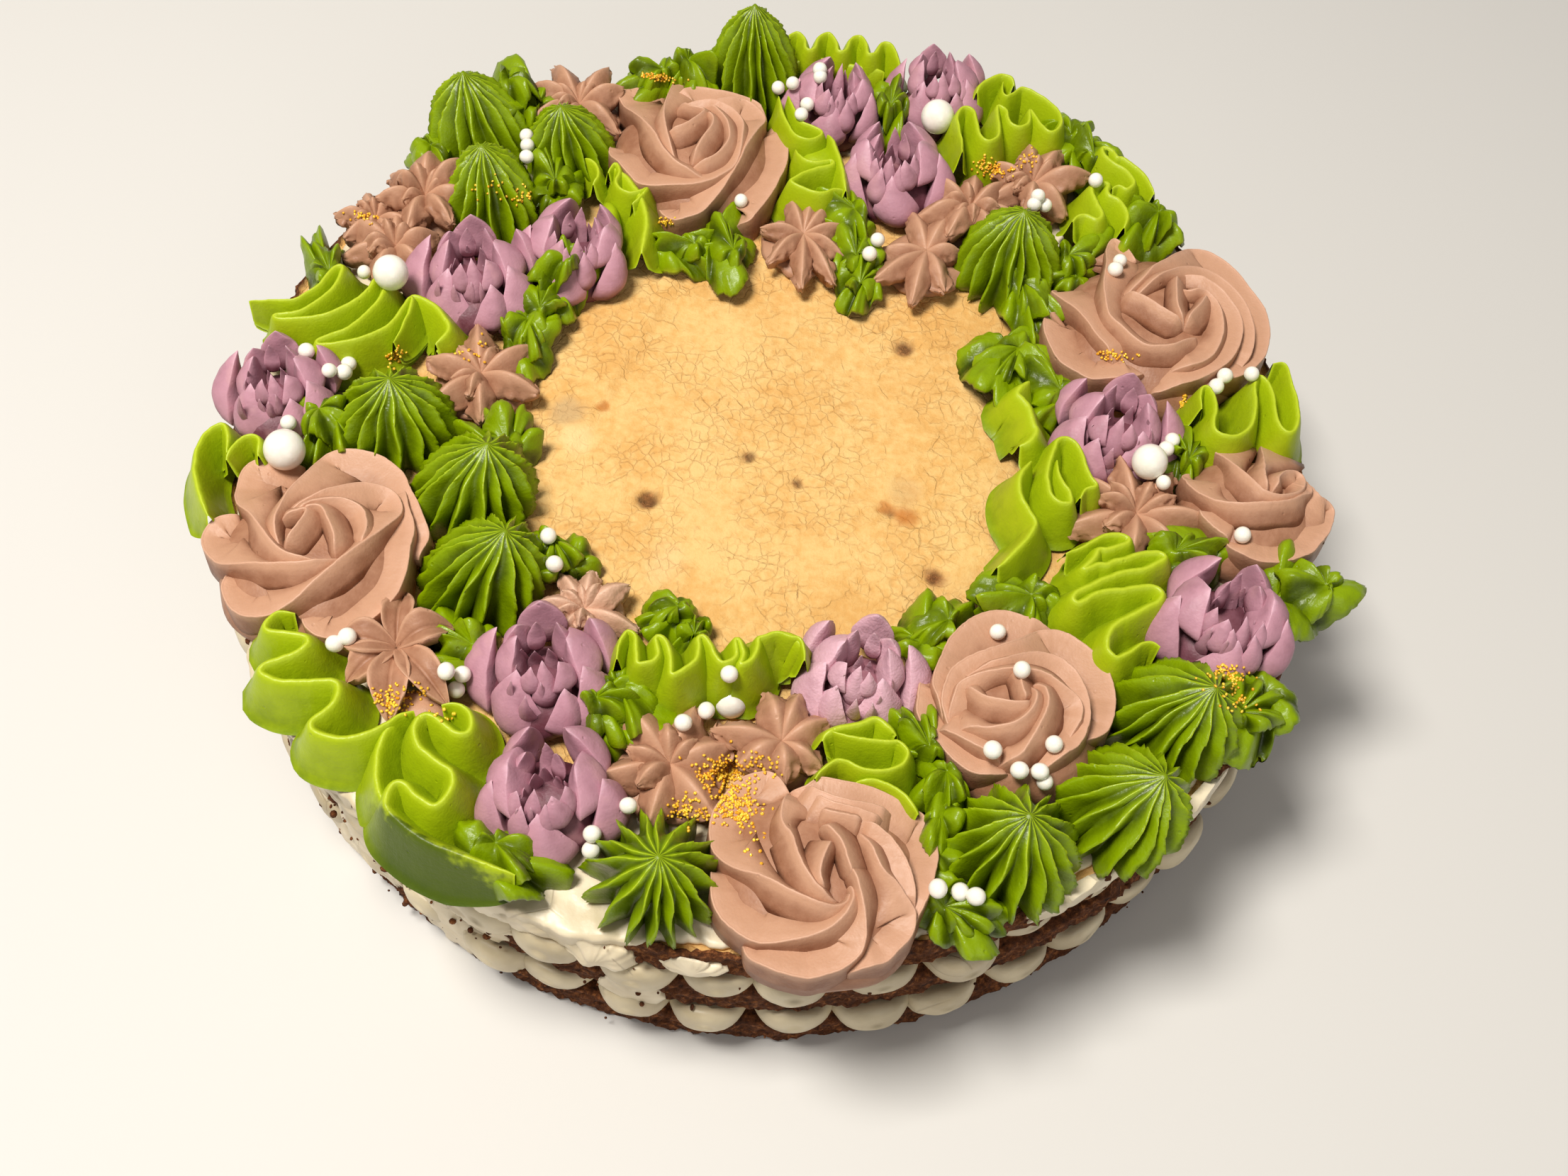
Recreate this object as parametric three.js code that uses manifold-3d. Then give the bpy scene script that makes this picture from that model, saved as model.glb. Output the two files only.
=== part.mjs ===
// A round cookie cake: three cookie layers with piped cream between them, a thin rim of
// cream on top, and a wreath of piped buttercream flowers, leaves and sugar pearls.
// Millimetres, +Z up. The origin is the middle of the underside of the bottom cookie.

import * as THREE from 'three';
import { mergeVertices } from 'three/addons/utils/BufferGeometryUtils.js';
import Module from 'manifold-3d';

const wasm = await Module();
wasm.setup();

// ---- Driving dimensions, mm ------------------------------------------------------------

const COOKIE_RADIUS = 127;        // a 10 inch cookie
const COOKIE_HEIGHT = 11;
const COOKIE_EDGE = 1.6;          // rounding of a cookie's top and bottom edge
const COOKIE_UNEVEN = 0.5;        // how far the baked edge wanders in and out
const COOKIE_STEPS = 40;

const FILLING_HEIGHT = 10;
const DOLLOPS = 46;               // piped dollops round each filling, about 17 mm wide
const DOLLOP_STEPS = 3;           // outline points of one dollop
const DOLLOP_OUT = 3.2;           // how far a dollop bulges past the cookies
const DOLLOP_CUSP = 2.6;          // how far the cleft between two dollops lies inside them
const DOLLOP_TUCK = 3.5;          // how far a filling draws in where it meets a cookie
const SHY_DOLLOPS = { from: 296, to: 350, by: 4.5 };   // degrees, upper filling only

const RIM_INNER = 100;            // the rim of cream lies in the top cookie's outer step
const RIM_OUTER = 125.6;
const RIM_THICK = 3;
const RIM_UNEVEN = 0.9;
const RIM_STEPS = 50;
const SKIRT = { from: 212, to: 262, out: 129.9, wall: 1.6, deep: 6.4 };
const SMEAR = { at: 215, wide: 7, out: 3.4 };          // rough lump on the left front edge

const GAP = 0.3;                  // clearance between any two pieces
const CELL_MARGIN = 2;            // least distance from a piece's middle to its neighbour
const PEARL_SUNK = 0.45;          // share of its radius that a pearl is pressed in

// Heights of the layers, from the table up.
const bottomTop = COOKIE_HEIGHT;
const middleBase = bottomTop + FILLING_HEIGHT;
const middleTop = middleBase + COOKIE_HEIGHT;
const topBase = middleTop + FILLING_HEIGHT;
const topFace = topBase + COOKIE_HEIGHT;
const wreathBase = topFace + GAP;

// ---- Colours ---------------------------------------------------------------------------

const FINISH = {
  baked: { color: 0x6b3a1c, roughness: 0.9 },
  golden: { color: 0xd9a35c, roughness: 0.85 },
  cream: { color: 0xe9dfcb, roughness: 0.45 },
  mauve: { color: 0xc39b82, roughness: 0.5 },
  purple: { color: 0xb585a0, roughness: 0.5 },
  forest: { color: 0x4f8a12, roughness: 0.45 },
  lime: { color: 0xa9c41f, roughness: 0.45 },
};

function finish(name) {
  return new THREE.MeshStandardMaterial({ ...FINISH[name], metalness: 0 });
}

// ---- Small helpers ---------------------------------------------------------------------

const FULL_TURN = 2 * Math.PI;
const radians = THREE.MathUtils.degToRad;
const clamp = THREE.MathUtils.clamp;

// Share of a window in degrees: 0 outside, rising to 1 over `soft` degrees inside its ends.
function windowShare(angle, from, to, soft) {
  const degrees = ((THREE.MathUtils.radToDeg(angle) % 360) + 360) % 360;
  return clamp(Math.min(degrees - from, to - degrees) / soft, 0, 1);
}

// Slow in-and-out wander of a hand-made edge, between -1 and 1.
function wander(angle, seed) {
  return 0.5 * Math.sin(3 * angle + seed) + 0.3 * Math.sin(7 * angle + 2.3 * seed)
    + 0.2 * Math.sin(13 * angle + 4.1 * seed);
}

// A closed surface: rings of equal point count from below to above, joined by quads, and
// closed by a fan to the point `low` and a fan to the point `high`.
function stack(rings, low, high) {
  const count = rings[0].length;
  const points = [low, ...rings.flat(), high];
  const at = (ring, step) => 1 + ring * count + (step % count);
  const faces = [];
  for (let step = 0; step < count; step += 1) {
    faces.push(0, at(0, step + 1), at(0, step));
    for (let ring = 0; ring + 1 < rings.length; ring += 1) {
      faces.push(at(ring, step), at(ring, step + 1), at(ring + 1, step + 1));
      faces.push(at(ring, step), at(ring + 1, step + 1), at(ring + 1, step));
    }
    faces.push(at(rings.length - 1, step), at(rings.length - 1, step + 1), points.length - 1);
  }
  return geometryOf(points, faces);
}

function geometryOf(points, faces) {
  const geometry = new THREE.BufferGeometry();
  geometry.setAttribute('position', new THREE.Float32BufferAttribute(points.flat(), 3));
  geometry.setIndex(faces);
  return geometry;
}

function toManifold(geometry) {
  const bare = geometry.clone();
  bare.deleteAttribute('normal');
  bare.deleteAttribute('uv');
  const merged = mergeVertices(bare, 1e-4);
  return new wasm.Manifold(new wasm.Mesh({
    numProp: 3,
    vertProperties: Float32Array.from(merged.attributes.position.array),
    triVerts: Uint32Array.from(merged.index.array),
  }));
}

function fromManifold(solid) {
  const mesh = solid.getMesh();
  const geometry = new THREE.BufferGeometry();
  geometry.setAttribute('position', new THREE.BufferAttribute(mesh.vertProperties, 3));
  geometry.setIndex(new THREE.BufferAttribute(mesh.triVerts, 1));
  return geometry;
}

const cake = new THREE.Group();

function place(name, geometry, finishName) {
  const mesh = new THREE.Mesh(geometry, finish(finishName));
  mesh.name = name;
  cake.add(mesh);
}

// ---- Cookies ---------------------------------------------------------------------------

// A ring of a cookie's side: the round edge with its wander, drawn in by `inset`.
function cookieRing(height, inset, seed) {
  return Array.from({ length: COOKIE_STEPS }, (_, step) => {
    const angle = (step / COOKIE_STEPS) * FULL_TURN;
    const radius = COOKIE_RADIUS - inset + COOKIE_UNEVEN * wander(angle, seed);
    return [radius * Math.cos(angle), radius * Math.sin(angle), height];
  });
}

function flatRing(radius, height) {
  return Array.from({ length: COOKIE_STEPS }, (_, step) => {
    const angle = (step / COOKIE_STEPS) * FULL_TURN;
    return [radius * Math.cos(angle), radius * Math.sin(angle), height];
  });
}

function cookie(base, seed) {
  const top = base + COOKIE_HEIGHT;
  const rings = [
    cookieRing(base, COOKIE_EDGE, seed),
    cookieRing(base + COOKIE_EDGE, 0, seed),
    cookieRing(top - COOKIE_EDGE, 0, seed),
    cookieRing(top, COOKIE_EDGE, seed),
  ];
  return stack(rings, [0, 0, base], [0, 0, top]);
}

// The top cookie stands full height inside RIM_INNER and steps down under the rim of cream.
function steppedCookie(base, seed) {
  const step = base + COOKIE_HEIGHT - RIM_THICK;
  const rings = [
    cookieRing(base, COOKIE_EDGE, seed),
    cookieRing(base + COOKIE_EDGE, 0, seed),
    cookieRing(step, 0, seed),
    flatRing(RIM_INNER, step),
    flatRing(RIM_INNER, base + COOKIE_HEIGHT),
  ];
  return stack(rings, [0, 0, base], [0, 0, base + COOKIE_HEIGHT]);
}

// ---- Piped fillings --------------------------------------------------------------------

// Outline of a filling: round dollops that meet in clefts. `fullness` 1 is the widest line.
function dollopRing(height, fullness, seed, shy) {
  const count = DOLLOPS * DOLLOP_STEPS;
  return Array.from({ length: count }, (_, step) => {
    const angle = (step / count) * FULL_TURN;
    const round = Math.abs(Math.sin((angle * DOLLOPS) / 2));
    const bulge = DOLLOP_OUT - DOLLOP_CUSP * (1 - round) * 2 + 0.5 * wander(angle, seed);
    const back = shy ? SHY_DOLLOPS.by * windowShare(angle, SHY_DOLLOPS.from, SHY_DOLLOPS.to, 8) : 0;
    const radius = COOKIE_RADIUS + bulge - back - DOLLOP_TUCK * (1 - fullness);
    return [radius * Math.cos(angle), radius * Math.sin(angle), height];
  });
}

function filling(base, seed, shy) {
  const low = base + GAP;
  const high = base + FILLING_HEIGHT - GAP;
  const rings = [
    dollopRing(low, 0, seed, shy),
    dollopRing((low + high) / 2, 1, seed, shy),
    dollopRing(high, 0, seed, shy),
  ];
  return stack(rings, [0, 0, low], [0, 0, high]);
}

// ---- Rim of cream ----------------------------------------------------------------------

// A ring in the top cookie's step. Over SKIRT its outer edge hangs down the cookie's side.
function rimOfCream() {
  const floor = topFace - RIM_THICK + GAP;
  const inner = RIM_INNER + GAP;
  const sections = Array.from({ length: RIM_STEPS }, (_, step) => {
    const angle = (step / RIM_STEPS) * FULL_TURN;
    const hang = windowShare(angle, SKIRT.from - 16, SKIRT.to + 16, 8);
    const lump = SMEAR.out * windowShare(angle, SMEAR.at - SMEAR.wide, SMEAR.at + SMEAR.wide, 6);
    const plain = RIM_OUTER + RIM_UNEVEN * wander(angle, 5);
    const outer = plain + (SKIRT.out - plain) * hang + lump;
    const depth = 0.2 + SKIRT.deep * windowShare(angle, SKIRT.from, SKIRT.to, 10);
    const wall = SKIRT.wall + lump;
    const profile = [
      [inner, floor], [outer - wall, floor], [outer - wall, floor - depth],
      [outer, floor - depth], [outer - 0.6, topFace], [inner, topFace],
    ];
    return profile.map(([r, z]) => [r * Math.cos(angle), r * Math.sin(angle), z]);
  });
  const size = sections[0].length;
  const at = (step, corner) => (step % RIM_STEPS) * size + (corner % size);
  const faces = [];
  for (let step = 0; step < RIM_STEPS; step += 1) {
    for (let corner = 0; corner < size; corner += 1) {
      faces.push(at(step, corner), at(step + 1, corner + 1), at(step, corner + 1));
      faces.push(at(step, corner), at(step + 1, corner), at(step + 1, corner + 1));
    }
  }
  return geometryOf(sections.flat(), faces);
}

// ---- Piped pieces ----------------------------------------------------------------------

// Each kind of piping is a stack of rings round its own axis. A ring is
// [radius, height, how deep the lobes cut in, how far they lift, turn of the lobes], with
// radius and height as shares of the piece's own; `lobes` counts petals or ribs.
const PIPING = {
  rose: {
    color: 'mauve', lobes: 5, steps: 20, peak: 0.98,
    rings: [[0.84, 0, 0, 0, 0], [0.97, 0.3, 0.05, 0.06, 0], [0.85, 0.76, 0.05, 0.1, 0.6],
      [0.62, 0.58, 0.06, 0.05, 1.2], [0.46, 0.93, 0.08, 0.07, 1.8], [0.25, 0.74, 0.1, 0.05, 2.4]],
  },
  blossom: {
    color: 'mauve', lobes: 6, steps: 12, peak: 0.72,
    rings: [[0.66, 0, 0.12, 0, 0], [0.84, 0.42, 0.2, 0.1, 0], [0.45, 0.9, 0.22, 0.1, 0]],
  },
  cluster: {
    color: 'purple', lobes: 6, steps: 12, peak: 0.72,
    rings: [[0.76, 0, 0.06, 0, 0], [0.94, 0.42, 0.08, 0.05, 0], [0.74, 0.88, 0.1, 0.12, 0],
      [0.5, 0.68, 0.05, 0, 2], [0.28, 0.96, 0.2, 0.04, 2]],
  },
  dome: {
    color: 'forest', lobes: 12, steps: 24, peak: 1,
    rings: [[0.86, 0, 0.07, 0, 0], [0.93, 0.3, 0.08, 0, 0], [0.62, 0.74, 0.1, 0, 0]],
  },
  fold: {
    color: 'lime', lobes: 2, steps: 8, peak: 0.8,
    rings: [[0.92, 0, 0, 0, 0], [0.82, 1, 0, 0, 0]],
  },
  leaf: {
    color: 'forest', lobes: 2, steps: 8, peak: 1,
    rings: [[0.8, 0, 0.1, 0, 0], [0.95, 0.5, 0.1, 0, 0]],
  },
};

// The wreath, by hand: node, kind, middle x and y, half length, half width, height, turn of
// the long side in degrees, and how far the top leans in x and y. Rows with one node name
// are piped onto each other and make one solid.
const WREATH = [
  ['rose_left', 'rose', -97, -45, 23, 22, 17, 20, 1, -1],
  ['rose_back', 'rose', -29, 85, 23, 23, 17, 60, -1, 2],
  ['rose_back_right', 'rose', 91, 45, 27, 22, 17, 10, 3, 1],
  ['rose_inner_right', 'rose', 57, -68, 21, 20, 17, 90, -1, 1],
  ['rose_front', 'rose', 18, -109, 22, 21, 17, 200, 1, -1],
  ['rose_right', 'rose', 112, -10, 17, 17, 16, 140, 1, 0],

  ['blossom_1', 'blossom', -74, -71, 14, 14, 12, 10, 0, 0],
  ['blossom_2', 'blossom', -37, -54, 10, 10, 10, 35, 0, 0],
  ['blossom_3', 'blossom', -14, -89, 13, 12, 12, 15, 0, 0],
  ['blossom_3', 'blossom', 8, -83, 13, 12, 12, 15, 0, 0],
  ['blossom_4', 'blossom', -71, 7, 13, 12, 11, 45, 0, 0],
  ['blossom_5', 'blossom', -95, 60, 12, 11, 15, 0, -2, 4],
  ['blossom_5', 'blossom', -99, 43, 12, 10, 13, 30, 0, 0],
  ['blossom_6', 'blossom', -62, 99, 12, 12, 14, 15, 0, 2],
  ['blossom_7', 'blossom', 2, 57, 10, 13, 10, 90, 0, 2],
  ['blossom_8', 'blossom', 32, 56, 13, 13, 11, 30, 0, 2],
  ['blossom_9', 'blossom', 43, 76, 11, 14, 14, 90, 0, 0],
  ['blossom_9', 'blossom', 59, 87, 13, 11, 14, 0, 0, 0],
  ['blossom_10', 'blossom', 84, -14, 15, 13, 12, 0, 2, 1],

  ['cluster_1', 'cluster', -115, -7, 14, 13, 18, 0, -2, 0],
  ['cluster_2', 'cluster', -78, 33, 15, 15, 20, 20, 0, 1],
  ['cluster_3', 'cluster', -55, 45, 13, 16, 19, 90, 0, 2],
  ['cluster_4', 'cluster', -43, -73, 14, 14, 20, 0, 0, 1],
  ['cluster_5', 'cluster', -36, -102, 13, 15, 19, 90, -1, 0],
  ['cluster_6', 'cluster', 24, -66, 13, 12, 18, 0, 0, 0],
  ['cluster_7', 'cluster', 102, -42, 15, 15, 20, 45, 2, 2],
  ['cluster_8', 'cluster', 80, 5, 14, 15, 19, 90, 0, 0],
  ['cluster_9', 'cluster', 23, 84, 14, 17, 20, 90, 0, 2],
  ['cluster_10', 'cluster', 5, 107, 11, 14, 20, 90, 0, 2],
  ['cluster_11', 'cluster', 32, 114, 11, 12, 21, 90, 0, 3],

  ['dome_1', 'dome', -14, -113, 14, 14, 17, 0, 1, -1],
  ['dome_2', 'dome', 56, -101, 14, 14, 18, 10, 2, 3],
  ['dome_2', 'leaf', 47, -114, 9, 6, 8, 170, 0, 0],
  ['dome_3', 'dome', 77, -89, 14, 14, 17, 5, 8, 3],
  ['dome_4', 'dome', 89, -67, 14, 14, 18, 0, 7, 2],
  ['dome_4', 'leaf', 107, -62, 10, 8, 10, 35, 0, 0],
  ['dome_5', 'dome', -61, -50, 13, 13, 18, 0, 6, 5],
  ['dome_5', 'leaf', -62, -66, 9, 6, 9, 150, 0, 0],
  ['dome_5', 'leaf', -45, -41, 7, 5, 8, 150, 0, 0],
  ['dome_6', 'dome', -67, -28, 14, 13, 18, 8, 4, 5],
  ['dome_6', 'leaf', -63, -12, 9, 7, 9, 115, 0, 0],
  ['dome_7', 'dome', -88, -11, 14, 13, 17, 0, 0, 4],
  ['dome_7', 'leaf', -102, -13, 9, 7, 10, 100, 0, 0],
  ['dome_8', 'dome', -85, 84, 13, 13, 19, 0, -5, 8],
  ['dome_8', 'leaf', -77, 98, 9, 7, 14, 140, -2, 3],
  ['dome_8', 'leaf', -96, 73, 8, 5, 10, 120, 0, 0],
  ['dome_9', 'dome', -78, 60, 11, 13, 18, 5, -3, 8],
  ['dome_10', 'dome', -61, 82, 11, 11, 17, 0, -3, 4],
  ['dome_10', 'leaf', -64, 71, 10, 6, 11, 105, 0, 0],
  ['dome_11', 'dome', -17, 114, 12, 12, 26, 0, -1, 7],
  ['dome_11', 'leaf', -32, 112, 8, 7, 14, 120, 0, 2],
  ['dome_11', 'leaf', -44, 110, 8, 6, 12, 20, 0, 2],
  ['dome_12', 'dome', 53, 58, 13, 13, 19, 0, 2, 6],
  ['dome_12', 'leaf', 59, 48, 11, 6, 9, 120, 0, 0],

  ['ruffle_1', 'fold', -105, 13, 22, 12, 9, 5, 0, 0],
  ['ruffle_1', 'fold', -113, 20, 13, 5, 12, 50, 0, 0],
  ['ruffle_1', 'fold', -103, 18, 13, 5, 13, 50, 0, 0],
  ['ruffle_1', 'fold', -92, 14, 11, 6, 13, 60, 0, 0],
  ['ruffle_1', 'leaf', -114, 34, 9, 5, 9, 110, 0, 0],
  ['ruffle_2', 'fold', -123, -30, 13, 5, 13, 108, 0, 0],
  ['ruffle_2', 'fold', -116, -30, 10, 5, 13, 108, 0, 0],
  ['ruffle_3', 'fold', -94, -73, 10, 7, 13, 130, 0, 0],
  ['ruffle_3', 'fold', -84, -84, 10, 8, 13, 140, 0, 0],
  ['ruffle_3', 'fold', -71, -94, 9, 8, 13, 110, 0, 0],
  ['ruffle_3', 'fold', -58, -89, 10, 8, 14, 145, 0, 0],
  ['ruffle_3', 'fold', -57, -101, 12, 7, 14, 145, 0, 0],
  ['ruffle_3', 'fold', -53, -112, 17, 6, 12, 152, 0, 0],
  ['ruffle_3', 'leaf', -43, -114, 9, 6, 11, 160, 0, 0],
  ['ruffle_4', 'fold', -25, -65, 9, 5, 16, 100, 0, 0],
  ['ruffle_4', 'fold', -17, -66, 10, 5, 16, 95, 0, 0],
  ['ruffle_4', 'fold', -8, -67, 10, 6, 16, 85, 0, 0],
  ['ruffle_4', 'fold', 3, -67, 11, 8, 15, 90, 0, 0],
  ['ruffle_4', 'leaf', -24, -77, 9, 7, 9, 130, 0, 0],
  ['ruffle_5', 'fold', 26, -82, 10, 5, 13, 0, 0, 0],
  ['ruffle_5', 'fold', 28, -88, 11, 5, 13, 170, 0, 0],
  ['ruffle_5', 'leaf', 37, -78, 8, 5, 11, 130, 0, 0],
  ['ruffle_5', 'leaf', 42, -89, 8, 5, 11, 100, 0, 0],
  ['ruffle_5', 'leaf', 42, -98, 8, 5, 10, 80, 0, 0],
  ['ruffle_6', 'fold', 72, -36, 15, 5, 13, 30, 0, 0],
  ['ruffle_6', 'fold', 76, -42, 15, 5, 14, 30, 0, 0],
  ['ruffle_6', 'fold', 77, -50, 11, 5, 13, 30, 0, 0],
  ['ruffle_6', 'leaf', 56, -42, 10, 7, 9, 30, 0, 0],
  ['ruffle_6', 'leaf', 44, -50, 9, 6, 8, 30, 0, 0],
  ['ruffle_7', 'fold', 56, -15, 20, 5, 14, 85, 0, 0],
  ['ruffle_7', 'fold', 64, -12, 14, 5, 13, 75, 0, 0],
  ['ruffle_7', 'fold', 58, 8, 14, 7, 14, 100, 0, 0],
  ['ruffle_7', 'leaf', 54, 27, 11, 8, 8, 70, 0, 0],
  ['ruffle_7', 'leaf', 63, 20, 9, 7, 9, 140, 0, 0],
  ['ruffle_8', 'fold', 99, 16, 9, 5, 14, 95, 0, 0],
  ['ruffle_8', 'fold', 107, 15, 13, 6, 15, 90, 0, 0],
  ['ruffle_8', 'fold', 117, 14, 15, 6, 15, 92, 0, 0],
  ['ruffle_8', 'leaf', 96, 5, 8, 5, 9, 95, 0, 0],
  ['ruffle_9', 'fold', 76, 74, 10, 7, 13, 20, 0, 0],
  ['ruffle_9', 'fold', 80, 86, 11, 8, 14, 120, 0, 2],
  ['ruffle_9', 'leaf', 89, 75, 8, 8, 12, 90, 0, 2],
  ['ruffle_9', 'leaf', 71, 63, 9, 6, 9, 70, 0, 0],
  ['ruffle_9', 'leaf', 67, 105, 9, 6, 12, 10, 0, 0],
  ['ruffle_9', 'leaf', 73, 99, 10, 6, 12, 120, 0, 0],
  ['ruffle_9', 'fold', 41, 99, 9, 5, 15, 90, 0, 2],
  ['ruffle_9', 'fold', 49, 101, 10, 6, 16, 90, 0, 2],
  ['ruffle_9', 'fold', 60, 103, 9, 7, 15, 90, 0, 2],
  ['ruffle_9', 'fold', 54, 110, 12, 6, 15, 155, 0, 2],
  ['ruffle_10', 'fold', -1, 123, 7, 6, 18, 90, 0, 3],
  ['ruffle_10', 'fold', 8, 124, 8, 6, 18, 90, 0, 3],
  ['ruffle_10', 'fold', 17, 122, 8, 6, 18, 90, 0, 3],
  ['ruffle_10', 'leaf', 20, 109, 9, 5, 13, 90, 0, 0],
  ['ruffle_11', 'fold', -5, 95, 10, 4, 13, 125, 0, 0],
  ['ruffle_11', 'fold', 3, 82, 14, 7, 13, 100, 0, 0],
  ['ruffle_11', 'leaf', 11, 69, 10, 6, 9, 125, 0, 0],
  ['ruffle_11', 'leaf', 14, 59, 10, 5, 8, 95, 0, 0],
  ['ruffle_11', 'leaf', 17, 50, 8, 5, 7, 75, 0, 0],
  ['ruffle_12', 'fold', -39, 53, 14, 7, 12, 95, 0, 0],
  ['ruffle_12', 'fold', -47, 66, 10, 6, 11, 140, 0, 0],
  ['ruffle_12', 'leaf', -29, 53, 8, 5, 8, 0, 0, 0],
  ['ruffle_12', 'leaf', -18, 55, 10, 6, 9, 100, 0, 0],

  ['leaf_inner_left', 'leaf', -60, 30, 9, 6, 9, 70, 0, 0],
  ['leaf_inner_left', 'leaf', -62, 20, 9, 6, 8, 100, 0, 0],
  ['leaf_right', 'leaf', 121, -31, 10, 8, 11, 15, 0, 0],
  ['leaf_inner_right', 'leaf', 95, -24, 10, 6, 11, 15, 0, 0],
];

// Sugar pearls: middle x and y. Each is pressed into whatever piping lies under it.
const LARGE_PEARL = { radius: 4.1, around: 8, up: 4 };
const SMALL_PEARL = { radius: 1.85, around: 5, up: 3 };
const LARGE_PEARLS = [[-109, -25], [-3, -75], [33, 104], [86, -2], [-97, 30]];
const SMALL_PEARLS = [
  [-111, 3], [-105, -1], [-100, 1], [-109, -17], [-47, -39], [-45, -46], [-62, -75], [-59, -79],
  [-27, -107], [-27, -111], [-22, -100], [-12, -82], [-8, -78], [-4, -69], [52, -55], [58, -63],
  [65, -78], [52, -81], [57, -85], [62, -87], [42, -112], [49, -112], [89, -8], [92, 2],
  [107, -22], [104, 22], [106, 25], [112, 26], [80, 56], [74, 83], [60, 78], [62, 75],
  [-10, 106], [-6, 109], [0, 115], [-3, 100], [-16, 65], [20, 57], [18, 52], [-72, 79],
  [-71, 74], [-102, 30], [-84, -71], [-36, 41],
];

const pieces = WREATH.map(([node, kind, x, y, length, width, height, turn, leanX, leanY]) => ({
  node, kind, x, y, length, width, height, turn: radians(turn), leanX, leanY,
}));

// How far a piece's oval footprint reaches from its middle in the direction (nx, ny).
function reach(piece, nx, ny) {
  const along = nx * Math.cos(piece.turn) + ny * Math.sin(piece.turn);
  const across = ny * Math.cos(piece.turn) - nx * Math.sin(piece.turn);
  return Math.hypot(piece.length * along, piece.width * across);
}

// The upright plane that parts two neighbours: across the direction in which they overlap
// least, halfway through the overlap. Returned as a limit [nx, ny, offset] for `own`.
function partingPlane(own, other) {
  let best = null;
  for (let step = 0; step < 72; step += 1) {
    const angle = (step / 72) * FULL_TURN;
    const nx = Math.cos(angle);
    const ny = Math.sin(angle);
    const apart = (other.x - own.x) * nx + (other.y - own.y) * ny;
    const room = apart - reach(own, nx, ny) - reach(other, nx, ny);
    if (!best || room > best.room) {
      best = { nx, ny, apart, room };
    }
  }
  const { nx, ny, apart, room } = best;
  const wanted = reach(own, nx, ny) + room / 2;
  const distance = clamp(wanted, CELL_MARGIN, Math.max(apart - CELL_MARGIN, CELL_MARGIN));
  return [nx, ny, own.x * nx + own.y * ny + distance - GAP / 2];
}

// A piece's cell: the limits set by every neighbour in another node.
function cellOf(piece) {
  const near = (other) => Math.hypot(other.x - piece.x, other.y - piece.y)
    < piece.length + other.length + 12;
  return pieces.filter((other) => other.node !== piece.node && near(other))
    .map((other) => partingPlane(piece, other));
}

// Draws the point (x, y) towards (fromX, fromY) until it is inside the cell.
function keepInside(cell, x, y, fromX, fromY) {
  let share = 1;
  for (const [nx, ny, offset] of cell) {
    const outward = (x - fromX) * nx + (y - fromY) * ny;
    const room = offset - fromX * nx - fromY * ny;
    if (outward > room) {
      share = Math.min(share, Math.max(room, 0) / outward);
    }
  }
  return [fromX + (x - fromX) * share, fromY + (y - fromY) * share];
}

// One piped piece: the rings of its kind, turned, stretched, leaned and kept in its cell.
function piped(piece) {
  const { lobes, steps, rings, peak } = PIPING[piece.kind];
  const cell = cellOf(piece);
  const axisAt = (share) => {
    const x = piece.x + piece.leanX * share;
    const y = piece.y + piece.leanY * share;
    const [keptX, keptY] = keepInside(cell, x, y, piece.x, piece.y);
    return [0.9 * keptX + 0.1 * piece.x, 0.9 * keptY + 0.1 * piece.y];
  };
  const point = ([radius, rise, depth, lift, twist], step) => {
    const angle = (step / steps) * FULL_TURN;
    const lobe = Math.cos(lobes * angle + twist * FULL_TURN / 4);
    const out = radius * (1 + depth * lobe);
    const height = rise + lift * lobe;
    const along = out * piece.length * Math.cos(angle);
    const across = out * piece.width * Math.sin(angle);
    const [axisX, axisY] = axisAt(height);
    const x = axisX + along * Math.cos(piece.turn) - across * Math.sin(piece.turn);
    const y = axisY + along * Math.sin(piece.turn) + across * Math.cos(piece.turn);
    const [keptX, keptY] = keepInside(cell, x, y, axisX, axisY);
    return [keptX, keptY, wreathBase + Math.max(height, 0) * piece.height];
  };
  const shells = rings.map((ring) => Array.from({ length: steps }, (_, step) => point(ring, step)));
  const [topX, topY] = axisAt(peak);
  return stack(shells, [piece.x, piece.y, wreathBase],
    [topX, topY, wreathBase + peak * piece.height]);
}

// ---- Pearls ----------------------------------------------------------------------------

// Height of a surface straight above (x, y), or null beside it.
function heightAbove(geometry, x, y) {
  const position = geometry.attributes.position;
  const ray = new THREE.Ray(new THREE.Vector3(x, y, 500), new THREE.Vector3(0, 0, -1));
  const corners = [0, 1, 2].map(() => new THREE.Vector3());
  const hit = new THREE.Vector3();
  let highest = null;
  for (let face = 0; face < geometry.index.count; face += 3) {
    corners.forEach((corner, k) => {
      corner.fromBufferAttribute(position, geometry.index.getX(face + k));
    });
    if (ray.intersectTriangle(...corners, false, hit) && (highest === null || hit.z > highest)) {
      highest = hit.z;
    }
  }
  return highest;
}

// The piece under a pearl, and the height of its surface there.
function hostOf(x, y) {
  let host = null;
  for (const piece of pieces) {
    const height = heightAbove(piece.geometry, x, y);
    if (height !== null && (!host || height > host.height)) {
      host = { piece, height };
    }
  }
  return host;
}

function pearl(x, y, { radius, around, up }) {
  const host = hostOf(x, y);
  if (!host) {
    return;
  }
  const z = host.height + radius * (1 - PEARL_SUNK) * 0.6;
  const ball = new THREE.SphereGeometry(radius, around, up);
  ball.translate(x, y, z);
  const cell = cellOf(host.piece);
  const position = ball.attributes.position;
  for (let k = 0; k < position.count; k += 1) {
    const [keptX, keptY] = keepInside(cell, position.getX(k), position.getY(k), x, y);
    position.setXY(k, keptX, keptY);
  }
  host.piece.extras.push(ball);
}

// ---- The cake --------------------------------------------------------------------------

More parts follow.
